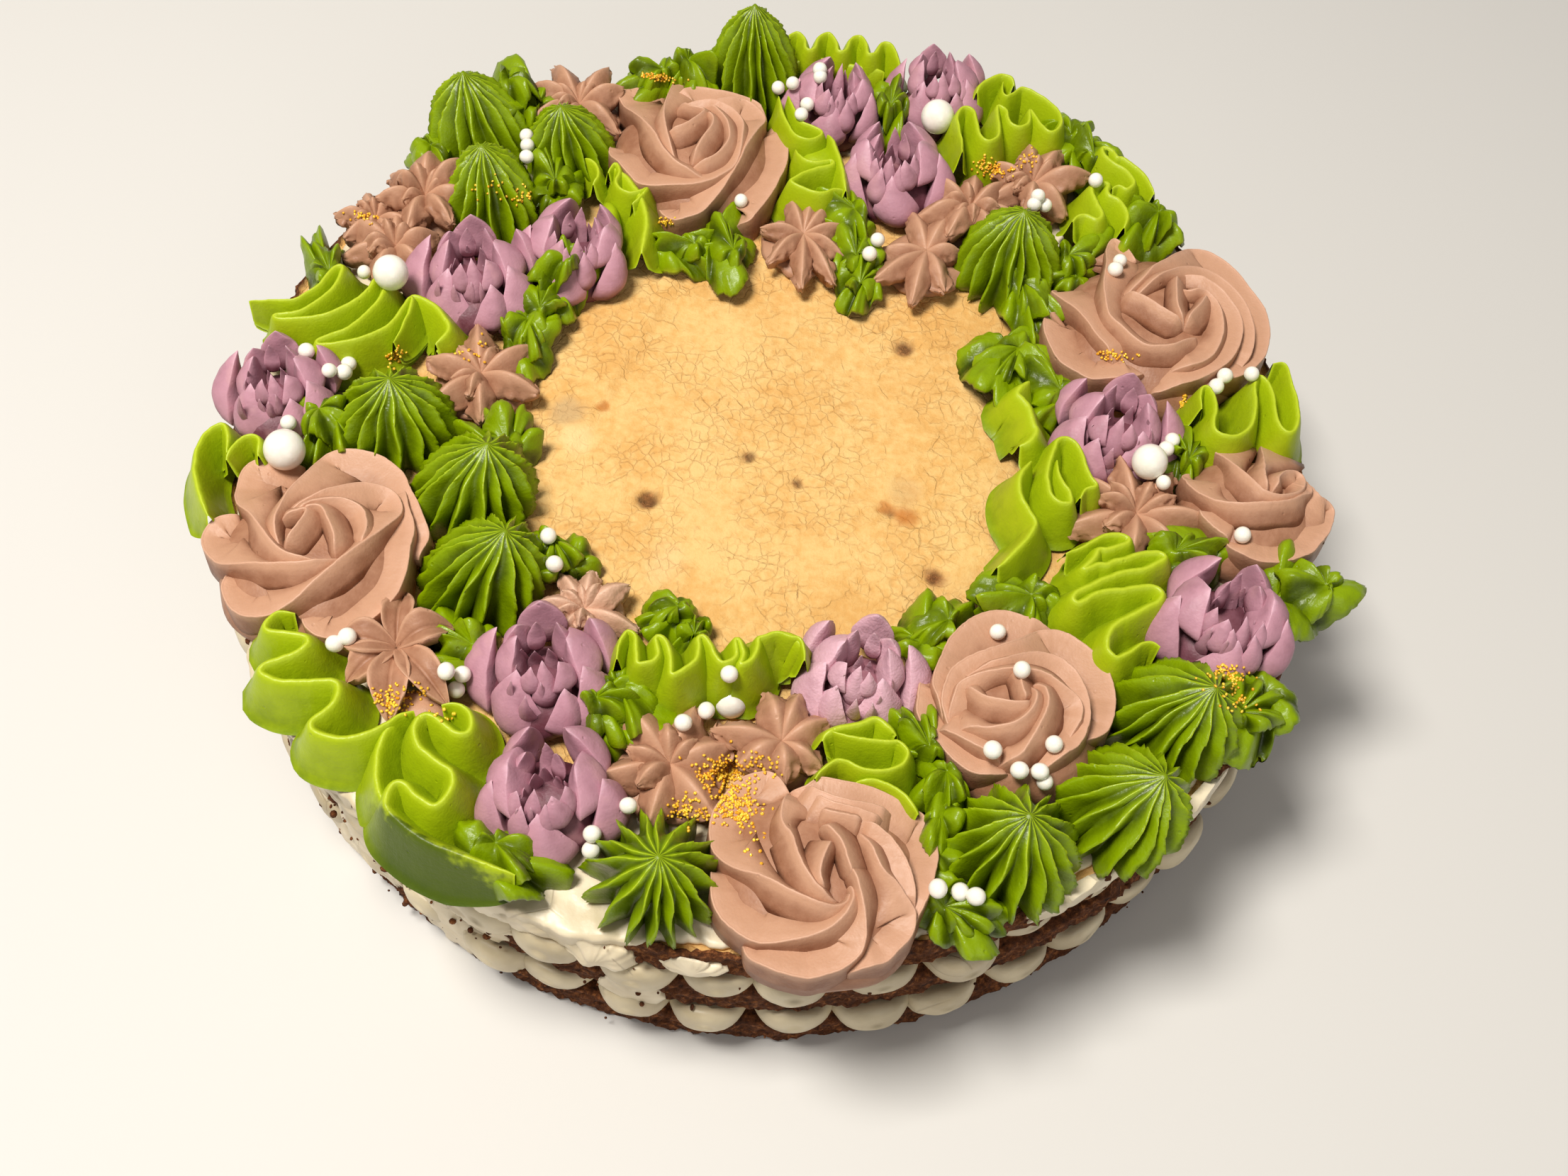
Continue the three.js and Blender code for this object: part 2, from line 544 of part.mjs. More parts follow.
place('cookie_bottom', cookie(0, 1), 'baked');
place('cream_lower', filling(bottomTop, 2, false), 'cream');
place('cookie_middle', cookie(middleBase, 3), 'baked');
place('cream_upper', filling(middleTop, 4, true), 'cream');
place('cookie_top', steppedCookie(topBase, 6), 'golden');
place('rim_cream', rimOfCream(), 'cream');

for (const piece of pieces) {
  piece.geometry = piped(piece);
  piece.extras = [];
}
LARGE_PEARLS.forEach(([x, y]) => pearl(x, y, LARGE_PEARL));
SMALL_PEARLS.forEach(([x, y]) => pearl(x, y, SMALL_PEARL));

// Rows of one node are joined into one solid; a scrap that touches nothing is dropped.
const nodes = [...new Set(pieces.map((piece) => piece.node))];
for (const node of nodes) {
  const rows = pieces.filter((piece) => piece.node === node);
  const parts = rows.flatMap((piece) => [piece.geometry, ...piece.extras]).map(toManifold);
  const joined = parts.reduce((sum, part) => sum.add(part));
  const bodies = joined.decompose().sort((a, b) => b.volume() - a.volume());
  place(node, fromManifold(bodies[0]), PIPING[rows[0].kind].color);
}

export default cake;
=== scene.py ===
"""Looks of the cookie cake: baked cookies, piped cream between them and a buttercream wreath.

Every length in the tables is in millimetres, x right, y back, z up, from the middle of the
underside. A mesh is worked out in those millimetres and turned to metres when it is made.
"""

import math

import bpy
import numpy as np
from mathutils import Matrix, Vector
from mathutils.bvhtree import BVHTree


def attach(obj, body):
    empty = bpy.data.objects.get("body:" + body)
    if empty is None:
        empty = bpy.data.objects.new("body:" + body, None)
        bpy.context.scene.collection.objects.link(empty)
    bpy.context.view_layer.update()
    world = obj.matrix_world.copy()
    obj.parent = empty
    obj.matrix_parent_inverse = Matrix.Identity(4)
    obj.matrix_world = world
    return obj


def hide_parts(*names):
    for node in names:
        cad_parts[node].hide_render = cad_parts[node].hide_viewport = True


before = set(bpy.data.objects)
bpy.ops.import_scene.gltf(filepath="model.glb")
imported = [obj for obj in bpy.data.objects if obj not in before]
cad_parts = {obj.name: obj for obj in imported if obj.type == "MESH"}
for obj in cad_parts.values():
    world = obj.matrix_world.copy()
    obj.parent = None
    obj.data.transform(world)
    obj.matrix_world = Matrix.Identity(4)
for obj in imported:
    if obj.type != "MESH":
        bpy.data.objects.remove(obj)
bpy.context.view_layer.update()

MILLIMETRE = 0.001
TURN = 2 * math.pi

COOKIE_RADIUS = 127.0
COOKIE_HEIGHT = 11.0
FILLING_HEIGHT = 10.0
MIDDLE_BASE = COOKIE_HEIGHT + FILLING_HEIGHT
TOP_BASE = 2 * MIDDLE_BASE
TOP_FACE = TOP_BASE + COOKIE_HEIGHT
RIM_INNER, RIM_OUTER, RIM_THICK = 99.0, 125.4, 3.0
BARE_RADIUS = 97.0        # of the cookie's bare golden top

EDGE_ROUND = 1.4          # of the rim's outer edge
SUNK = 0.2                # how deep piping is pressed into the top face

# Over the left front the rim's cream hangs down the side, out to this radius, between these
# degrees round from the right; its first stretch is lumpy.
HANG_OUTER, HANG_FROM, HANG_TO, LUMP_TO = 129.3, 208, 268, 223

# Each filling has this many dollops; the upper ones keep back between these degrees round.
DOLLOPS, SHY_FROM, SHY_TO = 46, 296, 350

# The camera: where it looks on the top face, how far off it is, its height angle and roll.
LOOK_AT = (5.5, -40.3)
DISTANCE = 365.0          # millimetres
ELEVATION = math.radians(58.2)
ROLL = math.radians(6.0)
LENS_PIXELS, IMAGE_WIDTH, SENSOR = 2300.0, 2212.0, 36.0

# Paths of the piping are given as they appear from the camera on a plane this far above the
# top face. A point that is higher or lower lies this share of the difference nearer or farther.
SEEN_PLANE = 10.0
SEEN_SHIFT = 0.62


# ---- Meshes ------------------------------------------------------------------------------

class Piping:
    """A mesh in the making: closed surfaces in millimetres, each with a crest value per point."""

    def __init__(self):
        self.points, self.quads, self.fans, self.crests, self.size = [], [], [], [], 0

    def add(self, rings, crest=0.0):
        """Adds a closed surface. rings[i, j] is point j round ring i; each end closes in a fan
        to the mean of its ring, and faces turn outwards by the sign of the enclosed volume."""
        rows, steps, _ = rings.shape
        crest = np.broadcast_to(crest, (rows, steps))
        points = np.concatenate([rings.reshape(-1, 3), rings[[0, -1]].mean(axis=1)])
        row = np.arange(rows - 1)[:, None] * steps
        step = np.arange(steps)
        after = np.roll(step, -1)
        quads = np.stack([row + step, row + after, row + steps + after, row + steps + step], -1)
        quads = quads.reshape(-1, 4)
        last = (rows - 1) * steps
        low = np.stack([after, step, np.full(steps, rows * steps)], -1)
        high = np.stack([last + step, last + after, np.full(steps, rows * steps + 1)], -1)
        fans = np.concatenate([low, high])
        triangles = np.concatenate([quads[:, [0, 1, 2]], quads[:, [0, 2, 3]], fans])
        a, b, c = np.moveaxis((points - points.mean(axis=0))[triangles], 1, 0)
        if np.einsum("ij,ij->", a, np.cross(b, c)) < 0:
            quads, fans = quads[:, ::-1], fans[:, ::-1]
        self.points.append(points)
        self.quads.append(quads + self.size)
        self.fans.append(fans + self.size)
        self.crests.append(np.concatenate([crest.ravel(), crest[[0, -1]].mean(axis=1)]))
        self.size += len(points)

    def make(self, name, material, slot, nodes=()):
        """The finished object: metres, smooth faces, riding on the cake."""
        points = np.concatenate(self.points) * MILLIMETRE
        quads, fans = np.concatenate(self.quads), np.concatenate(self.fans)
        mesh = bpy.data.meshes.new(name)
        mesh.vertices.add(len(points))
        mesh.vertices.foreach_set("co", points.ravel())
        corners = np.concatenate([quads.ravel(), fans.ravel()]).astype(np.int32)
        starts = np.concatenate([np.arange(len(quads)) * 4,
                                 quads.size + np.arange(len(fans)) * 3]).astype(np.int32)
        mesh.loops.add(len(corners))
        mesh.loops.foreach_set("vertex_index", corners)
        mesh.polygons.add(len(starts))
        mesh.polygons.foreach_set("loop_start", starts)
        # The crest value sets where the buttercream paints shade (low) and highlight (high), and marks
        # the golden top of a cookie.
        crest = mesh.attributes.new("crest", "FLOAT", "POINT")
        crest.data.foreach_set("value", np.concatenate(self.crests))
        mesh.update(calc_edges=True)
        mesh.shade_smooth()
        mesh.materials.append(material)
        piece = bpy.data.objects.new(name, mesh)
        bpy.context.scene.collection.objects.link(piece)
        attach(piece, "root")
        if nodes:
            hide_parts(*nodes)
        return piece


def waves(points, size, seed, count=24):
    """Soft noise of about -1 to 1: `count` sine waves that run in random directions, each about
    `size` long, averaged and scaled up again by the root of their number."""
    rng = np.random.default_rng(seed)
    way = rng.normal(size=(count, points.shape[-1]))
    way *= TURN / size * rng.uniform(0.6, 1.7, (count, 1)) / np.linalg.norm(
        way, axis=1, keepdims=True)
    phase = rng.uniform(0, TURN, count)
    return np.sin(points @ way.T + phase).mean(axis=-1) * math.sqrt(count) * 0.55


def spline(points, count):
    """A smooth curve through the points, `count` places evenly spaced along it. Between two
    points it is a cubic, and at each it runs as the line between that point's neighbours."""
    points = np.asarray(points, float)
    ends = np.concatenate([[2 * points[0] - points[1]], points, [2 * points[-1] - points[-2]]])
    t = np.linspace(0, len(points) - 1 - 1e-9, 40 * len(points))
    k = t.astype(int)
    u = (t - k)[:, None]
    a, b, c, d = ends[k], ends[k + 1], ends[k + 2], ends[k + 3]
    curve = 0.5 * (2 * b + (c - a) * u + (2 * a - 5 * b + 4 * c - d) * u ** 2
                   + (3 * b - a - 3 * c + d) * u ** 3)
    length = np.concatenate([[0], np.cumsum(np.linalg.norm(np.diff(curve, axis=0), axis=1))])
    even = np.linspace(0, length[-1], count)
    return np.stack([np.interp(even, length, curve[:, i]) for i in range(curve.shape[1])], -1)


def ball(radius, steps, rows):
    """A sphere as rings from its lowest point up."""
    up = np.linspace(-math.pi / 2 + 0.12, math.pi / 2 - 0.12, rows)[:, None]
    around = np.linspace(0, TURN, steps, endpoint=False)
    return polar(radius * np.cos(up), around, radius * np.sin(up))


def smooth(low, high, x):
    """0 below `low`, 1 above `high`, and an S curve between."""
    t = np.clip((x - low) / (high - low), 0, 1)
    return t * t * (3 - 2 * t)


def xyz(x, y, z):
    """Points from their coordinates, each an array or one number for all."""
    return np.stack(np.broadcast_arrays(x, y, z), -1)


def polar(radius, angle, z):
    """Points at `radius` and `angle` round the middle line of the cake, at height z."""
    return xyz(radius * np.cos(angle), radius * np.sin(angle), z)


def swing(x, y, right, ahead, turn):
    """The x and y of what lies `right` and `ahead` of x, y in a shape turned by `turn`."""
    cos, sin = math.cos(turn), math.sin(turn)
    return x + right * cos - ahead * sin, y + right * sin + ahead * cos


def on_top(x, y, z):
    """Points at height z above the top face, none of them deeper in it than SUNK."""
    return xyz(x, y, np.maximum(z, -SUNK) + TOP_FACE)


# ---- Materials ---------------------------------------------------------------------------

class Wire:
    """A node's output in a material. Arithmetic on wires adds Math nodes, and the other methods
    add the nodes they are named for."""

    def __init__(self, tree, socket=None):
        self.tree, self.socket = tree, socket

    def node(self, kind, settings=None, sockets=None, output=0):
        """Adds a node: its settings first, then the values or wires of its sockets."""
        made = self.tree.nodes.new("ShaderNode" + kind)
        for name, value in (settings or {}).items():
            setattr(made, name, value)
        for name, value in (sockets or {}).items():
            if isinstance(value, Wire):
                self.tree.links.new(value.socket, made.inputs[name])
            else:
                made.inputs[name].default_value = value
        return Wire(self.tree, made.outputs[output])

    def math(self, operation, a, b):
        return self.node("Math", {"operation": operation}, {0: a, 1: b})

    def __add__(self, other):
        return self.math("ADD", self, other)

    def __sub__(self, other):
        return self.math("SUBTRACT", self, other)

    def __rsub__(self, other):
        return self.math("SUBTRACT", other, self)

    def __mul__(self, other):
        return self.math("MULTIPLY", self, other)

    def vector(self, operation, other, output=0):
        return self.node("VectorMath", {"operation": operation}, {0: self, 1: other}, output)

    def between(self, low, high, curve="SMOOTHSTEP"):
        """0 where the value is below `low`, 1 above `high`, and a curve between."""
        return self.node("MapRange", {"interpolation_type": curve},
                         {"Value": self, "From Min": low, "From Max": high})

    def colors(self, low, high):
        """The colour `low` where the value is 0, `high` where it is 1, each a wire or a screen
        colour of 0 to 255."""
        low, high = (c if isinstance(c, Wire) else linear(*c) for c in (low, high))
        return self.node("Mix", {"data_type": "RGBA"}, {0: self, 6: low, 7: high}, 2)

    def place(self):
        """Where a point lies, in metres, from the middle of the cake's underside."""
        return self.node("TexCoord", output="Object")

    def crest(self):
        """The value that the mesh has at each point."""
        return self.node("Attribute", {"attribute_name": "crest"}, output="Fac")

    def noise(self, size, detail=2.0, rough=0.5, twist=0.0):
        """Noise with features about `size` millimetres wide."""
        return self.node("TexNoise", None, {
            "Vector": self.place(), "Scale": 1 / (size * MILLIMETRE), "Detail": detail,
            "Roughness": rough, "Distortion": twist})

    def cells(self, scale, feature="F1"):
        """Random cells, `scale` of them to the metre, on this wire of places: the distance to
        the nearest middle, or to the nearest edge with DISTANCE_TO_EDGE."""
        return self.node("TexVoronoi", {"feature": feature}, {"Vector": self, "Scale": scale})

    def bump(self, strength, depth):
        """A surface pushed in and out by this wire, by `depth` millimetres at full strength."""
        return self.node("Bump", None, {"Strength": strength, "Height": self,
                                        "Distance": depth * MILLIMETRE})


def linear(red, green, blue):
    """A screen colour of 0 to 255 as the linear colour that a shader takes."""
    return tuple(((v / 255 + 0.055) / 1.055) ** 2.4 if v > 10 else v / 255 / 12.92
                 for v in (red, green, blue)) + (1.0,)


def finish(name, build, **constants):
    """A material: `build(wire)` gives the wires of the surface, `constants` its fixed values."""
    material = bpy.data.materials.new(name)
    material.use_nodes = True
    tree = material.node_tree
    surface = next(n for n in tree.nodes if n.type == "BSDF_PRINCIPLED")
    for socket, value in constants.items():
        surface.inputs[socket.replace("_", " ")].default_value = value
    for socket, wire in build(Wire(tree)).items():
        tree.links.new(wire.socket, surface.inputs[socket])
    return material


# Distance from the cake's middle line, and x, at which the darker wall starts and is full.
WALL_OUT = np.array([126.2, 128.8]) * MILLIMETRE
WALL_FROM = np.array([-77.0, -66.0]) * MILLIMETRE


def buttercream(name, deep, body, crest, gloss=0.48, grain=1.0, stain=None, wall=None):
    """Piped buttercream: painted shade in the folds and a painted highlight along thin lips, both set by
    the crest value, with faint mottling, the fine drag grain of piped fat, and a few burst air bubbles.
    `wall` colours the outside of the left front edge below its lip, where a darker cream came through the
    nozzle."""
    def build(wire):
        # Painted shade: `deep` fills the folds where the crest value is low. Painted highlight: `crest`
        # lines the thin lips where it is high.
        fold = (wire.crest() + (wire.noise(5, 3, 0.6) - 0.5) * 0.55).between(-0.3, 0.55)
        edge = (wire.crest() + (wire.noise(1.6) - 0.5) * 0.3).between(0.62, 1.05)
        color = (edge * 0.8).colors(fold.colors(deep, body), crest)
        if stain:
            patch = wire.noise(9, 2, 0.5, 0.4).between(0.58, 0.72)
            color = (patch * 0.35).colors(color, stain)
        if wall:
            flat = wire.place().vector("MULTIPLY", (1.0, 1.0, 0.0))
            streak = (wire.noise(3, 3) - 0.5) * 0.006
            outside = (flat.vector("LENGTH", (0.0, 0.0, 0.0), 1) + streak).between(*WALL_OUT)
            start = wire.node("SeparateXYZ", None, {0: wire.place()}).between(*WALL_FROM)
            color = (outside * start * 0.9).colors(color, wall)
        pit = 1 - wire.place().cells(190.0).between(0.03, 0.09)
        height = wire.noise(0.55, 3, 0.6) * 0.5 + wire.noise(2.2) * 0.9 - pit * 1.2
        return {"Base Color": color, "Roughness": (wire.noise(1.1, 3) - 0.5) * 0.22 + gloss,
                "Normal": height.bump(0.35 * grain, 0.35)}
    return finish(name, build, Subsurface_Weight=0.05, Subsurface_Radius=(1.0, 0.9, 0.6),
                  Subsurface_Scale=0.0008, Specular_IOR_Level=0.32)


# Each colour triple: painted shade for the folds, the cream's own colour, and a painted highlight for the
# lips.
MAUVE = buttercream("mauve buttercream", (118, 66, 38), (188, 143, 114), (201, 157, 130))
PALE_MAUVE = buttercream("pale mauve buttercream", (142, 92, 62), (210, 170, 144),
                         (220, 182, 158), grain=2.0)
PALE_PURPLE = buttercream("pale purple buttercream", (126, 74, 84), (208, 164, 176),
                          (222, 182, 194), grain=2.2)
PURPLE = buttercream("purple buttercream", (94, 46, 56), (187, 137, 151), (212, 168, 182),
                     stain=(200, 152, 154))
DARK_GREEN = buttercream("dark green buttercream", (44, 58, 0), (124, 148, 0), (188, 204, 44),
                         gloss=0.34, grain=1.2)
LEAF_GREEN = buttercream("leaf green buttercream", (38, 50, 0), (126, 150, 0), (178, 196, 40),
                         gloss=0.34, grain=1.2)
# The light green's painted shade, own colour and painted highlight.
LIGHT = ((80, 102, 0), (160, 179, 12), (180, 194, 44))
LIGHT_GREEN = buttercream("light green buttercream", *LIGHT, gloss=0.42)
TWO_TONE_GREEN = buttercream("two tone green buttercream", *LIGHT, gloss=0.42,
                             wall=(56, 74, 8))


# Stains on the golden top: x, y as seen, width, colour and weight.
STAINS = [(31, -24, 4.2, (172, 92, 20), 0.7), (27, -22, 3.0, (172, 92, 20), 0.6),
          (-42, -1, 2.6, (178, 100, 30), 0.7), (-50, -4, 6.5, (176, 150, 112), 0.6),
          (-46, -12, 6, (240, 204, 148), 0.6), (-28, -26, 4.0, (120, 66, 30), 0.5),
          (39, -39, 4.2, (150, 96, 60), 0.5), (29, 27, 4.4, (170, 122, 74), 0.5),
          (31, -17, 6, (190, 152, 104), 0.4), (-22, -43, 7, (232, 196, 140), 0.5)]


BENT = 0.006              # how far the coordinates of cracks and stains are bent, in metres
BENT_OFF = 3.0            # how far the bent ones then lie off on each axis, in millimetres


def crumb(name, dark, mid, light, golden_top):
    """Baked cookie: a coarse dark crumb with glints of lighter grain on the side and, on a top,
    a matte golden crust with fine cracks, specks and darker baked patches."""
    def build(wire):
        coarse, grain = wire.noise(1.6, 4, 0.7), wire.noise(0.7, 4, 0.65)
        lumps = wire.place().cells(620.0)
        shade = coarse * 0.6 + grain * 0.4 + (0.5 - lumps) * 0.25
        tone = shade.between(0.3, 0.52, "LINEAR").colors(dark, mid)
        tone = shade.between(0.52, 0.74, "LINEAR").colors(tone, light)
        height = coarse + grain * 0.5 - lumps * 0.6
        if not golden_top:
            return {"Base Color": tone, "Normal": height.bump(0.9, 1.2)}
        shift = wire.node("TexNoise", None,
                          {"Vector": wire.place(), "Scale": 130.0, "Detail": 4.0}, 1)
        bent = wire.place().vector("ADD", shift.vector("MULTIPLY", (BENT, BENT, BENT)))
        net = bent.cells(340.0, "DISTANCE_TO_EDGE").between(0.0, 0.09)
        wide = bent.cells(90.0, "DISTANCE_TO_EDGE").between(0.0, 0.022)
        crack = (1 - net) * wire.noise(16, 3).between(0.36, 0.58) \
            * wire.noise(3.5).between(0.26, 0.5)
        split = (1 - wide) * wire.noise(9).between(0.46, 0.62)
        speck = (1 - wire.place().cells(260.0).between(0.06, 0.16)) \
            * wire.noise(8).between(0.5, 0.6)
        crust, patch = wire.noise(2.4, 5, 0.62), wire.noise(26, 3, 0.55)
        gold = ((crust + patch) * 0.5).between(0.36, 0.62).colors(
            (211, 161, 92), (224, 185, 120))
        gold = (crack * 0.2 + split * 0.16 + speck * 0.3).colors(gold, (158, 98, 44))
        for x, y, wide, stain, weight in STAINS:
            middle = np.array([x, y + SEEN_SHIFT * SEEN_PLANE, TOP_FACE]) + BENT_OFF
            far = bent.vector("DISTANCE", tuple(middle * MILLIMETRE), 1)
            near = 1 - far.between(0.3 * wide * MILLIMETRE, wide * MILLIMETRE)
            gold = (near * weight).colors(gold, stain)
        # The crest value: 1 on the golden top, 0 on the side; where it falls in the pits, the dark crumb
        # colour there is painted shade.
        top = wire.crest()
        relief = height * (1 - top) * 3.0 + top * (crust * 0.9 + patch * 0.4 + grain * 0.25
                                                   - crack * 0.3 - split * 0.35)
        return {"Base Color": top.colors(tone, gold), "Normal": relief.bump(0.8, 0.6)}
    return finish(name, build, Roughness=0.88, Specular_IOR_Level=0.25)


BAKED = crumb("baked cookie", (42, 18, 6), (98, 54, 26), (172, 108, 60), False)
GOLDEN = crumb("golden cookie", (48, 21, 8), (104, 58, 28), (178, 114, 64), True)


def white_cream(name, dull, bright):
    """White cream: smooth and faintly yellow where piped, with fine dry cracks where smeared."""
    def build(wire):
        tint = wire.noise(14, 3).between(0.35, 0.68).colors(dull, bright)
        crack = wire.place().cells(70.0, "DISTANCE_TO_EDGE").between(0.0, 0.02)
        dry = (1 - crack) * wire.noise(12).between(0.55, 0.62)
        height = wire.noise(3.5, 3) + wire.noise(0.8) * 0.25 - dry * 0.8
        return {"Base Color": (dry * 0.4).colors(tint, (150, 132, 108)),
                "Normal": height.bump(0.35, 0.5)}
    return finish(name, build, Roughness=0.42, Subsurface_Weight=0.15,
                  Subsurface_Radius=(1.0, 0.8, 0.6), Subsurface_Scale=0.003)


CREAM = white_cream("white cream", (204, 188, 156), (232, 217, 188))
# The dollops' cream is a darker copy of the same white cream: painted shade for the dollops that sit
# between the cookies.
SHADED_DOLLOP_CREAM = white_cream("dollop cream in painted shade", (184, 168, 136), (214, 199, 166))


def sugar_pearl(name):
    """Sugar pearls: glazed, off-white, with a faint unevenness."""
    def build(wire):
        return {"Base Color": wire.noise(2.5).colors((232, 224, 208), (250, 246, 236)),
                "Normal": wire.noise(1.2).bump(0.2, 0.3)}
    return finish(name, build, Roughness=0.24, Coat_Weight=0.4, Coat_Roughness=0.12,
                  Subsurface_Weight=0.2, Subsurface_Radius=(1.0, 0.85, 0.7),
                  Subsurface_Scale=0.001)


def gold_sugar(name):
    """Gold sugar: small amber crystals, some paler than others."""
    def build(wire):
        grain = wire.place().vector("SNAP", (MILLIMETRE, MILLIMETRE, MILLIMETRE))
        shade = wire.node("TexWhiteNoise", None, {"Vector": grain})
        return {"Base Color": shade.colors((224, 150, 12), (255, 214, 66))}
    return finish(name, build, Roughness=0.25, Coat_Weight=0.4)


PEARL, GOLD = sugar_pearl("sugar pearl"), gold_sugar("gold sugar")


# ---- Cookies -----------------------------------------------------------------------------

# Pits in the golden top: x, y as seen, half width and depth.
PITS = [(-28, -26, 1.9, 1.6), (-6, -11, 1.5, 1.2), (6, -17, 1.3, 1.1), (39, -39, 1.7, 1.3),
        (29, 27, 1.9, 1.3), (28, -23, 1.6, 0.8), (-42, -1, 1.0, 0.5), (-50, -4, 3.0, 0.35),
        (31, -17, 2.4, 0.3), (-22, -43, 3.0, 0.3), (4, 12, 2.6, 0.25), (14, 22, 2.2, 0.25)]


def cookie(node, base, seed, material, slot, golden):
    """A cookie: a disc whose outline is carried round a profile of rounded edges; the side is
    pushed in and out by coarse and fine waves, and the top of the golden one rolls gently."""
    angle = np.linspace(0, TURN, 760, endpoint=False)
    edge, height = 1.6, COOKIE_HEIGHT
    bend = np.linspace(0, math.pi / 2, 6)
    low = np.stack([COOKIE_RADIUS - edge + edge * np.sin(bend), edge - edge * np.cos(bend)], -1)
    side = np.stack([np.full(22, COOKIE_RADIUS), np.linspace(edge, height - edge, 22)], -1)[1:-1]
    high = np.stack([low[::-1, 0], height - low[::-1, 1]], -1)
    inward = np.concatenate([np.linspace(COOKIE_RADIUS - 3, 100, 12),
                             np.linspace(98, 4, 72 if golden else 6)])
    top = np.stack([inward, np.full(len(inward), height)], -1)
    under = np.stack([np.linspace(20, COOKIE_RADIUS - 3, 6), np.zeros(6)], -1)
    radius, level = np.concatenate([under, low, side, high, top]).T[..., None]
    spot = polar(radius, angle, level + base)
    rough = 0.75 * waves(spot, 7, seed) + 0.55 * waves(spot, 2.6, seed + 1) \
        + 0.3 * waves(spot, 1.3, seed + 2)
    spot[..., :2] *= (1 + smooth(118, 125.5, radius) * (rough - 0.4) / COOKIE_RADIUS)[..., None]
    crest = 0.0
    if golden:
        upper = 1.0 * (level > height - 0.01)
        roll = 0.35 * waves(spot, 42, seed + 3) + 0.16 * waves(spot, 9, seed + 4)
        x, y = spot[..., 0], spot[..., 1] - SEEN_SHIFT * SEEN_PLANE
        flap = 0.9 * smooth(-3, 3, y - (5 + (x + 40) * 3.1)) * smooth(-64, -40, x)
        dip = sum(depth * np.exp(-((x - pit_x) ** 2 + (y - pit_y) ** 2) / (2 * wide ** 2))
                  for pit_x, pit_y, wide, depth in PITS)
        spot[..., 2] += upper * (roll + flap - dip - 0.25) * smooth(0, 90, 156 - radius)
        spot[..., 2] = np.minimum(spot[..., 2], TOP_FACE + 0.9) \
            - upper * 1.6 * smooth(98, 101, radius)
        # The crest value marks the golden top; in the pits it falls, so that they take the dark crumb
        # colour as painted shade.
        crest = upper * (1 - 0.8 * smooth(0.35, 1.1, dip))
    piping = Piping()
    piping.add(spot, crest)
    return piping.make(node + "_crumb", material, slot, [node])


# ---- Fillings ----------------------------------------------------------------------------

def filling(node, base, seed, shy):
    """A ring of round dollops. Each is a full ball pressed flat between the cookies: radius
    along a spoke, half width and half height scaled, with its underside and top held level,
    and swollen over the edges of the cookies where it comes out between them."""
    rng = np.random.default_rng(seed)
    piping = Piping()
    half = FILLING_HEIGHT / 2
    u = np.linspace(0, math.pi, 23)[:, None]
    v = np.linspace(0, TURN, 26, endpoint=False)
    for k in range(DOLLOPS):
        angle = TURN * (k + 0.5 + rng.uniform(-0.12, 0.12)) / DOLLOPS
        inside = min(math.degrees(angle) - SHY_FROM, SHY_TO - math.degrees(angle))
        back = shy * 4.5 * float(smooth(0, 8, inside))
        wide, reach, tall = 10.2 + rng.uniform(-0.6, 0.6), 14 + rng.uniform(-0.8, 0.5), \
            8.4 + rng.uniform(-0.4, 0.4)
        out = reach * np.sign(np.cos(u)) * np.abs(np.cos(u)) ** 0.85 + 0 * v
        across, up = swing(0, 0, wide * np.sin(u) ** 0.75 * np.cos(v),
                           tall * np.sin(u) ** 0.75 * np.sin(v), rng.uniform(-0.10, 0.10))
        up = half * np.tanh(up / half * 1.15) + rng.uniform(-0.15, 0.15)
        centre = COOKIE_RADIUS - 11.2 - back + rng.uniform(-0.7, 0.7)
        radial = centre + out + 0.25 * waves(xyz(out, across, up), 9, seed * 50 + k)
        up = up * (1 + 0.42 * smooth(COOKIE_RADIUS - 1.5, COOKIE_RADIUS + 1, radial))
        piping.add(xyz(*swing(0, 0, radial, across, angle), base + half + up * 0.96))
    ring = np.linspace(0, TURN, 120, endpoint=False)
    inner = np.array([(60, 1), (118, 0.8), (119 - 5 * shy, 5), (118, 9.2), (60, 9)], float)
    piping.add(polar(inner[:, :1], ring, inner[:, 1:] + base))
    return piping.make(node + "_dollops", SHADED_DOLLOP_CREAM, "white_cream", [node])


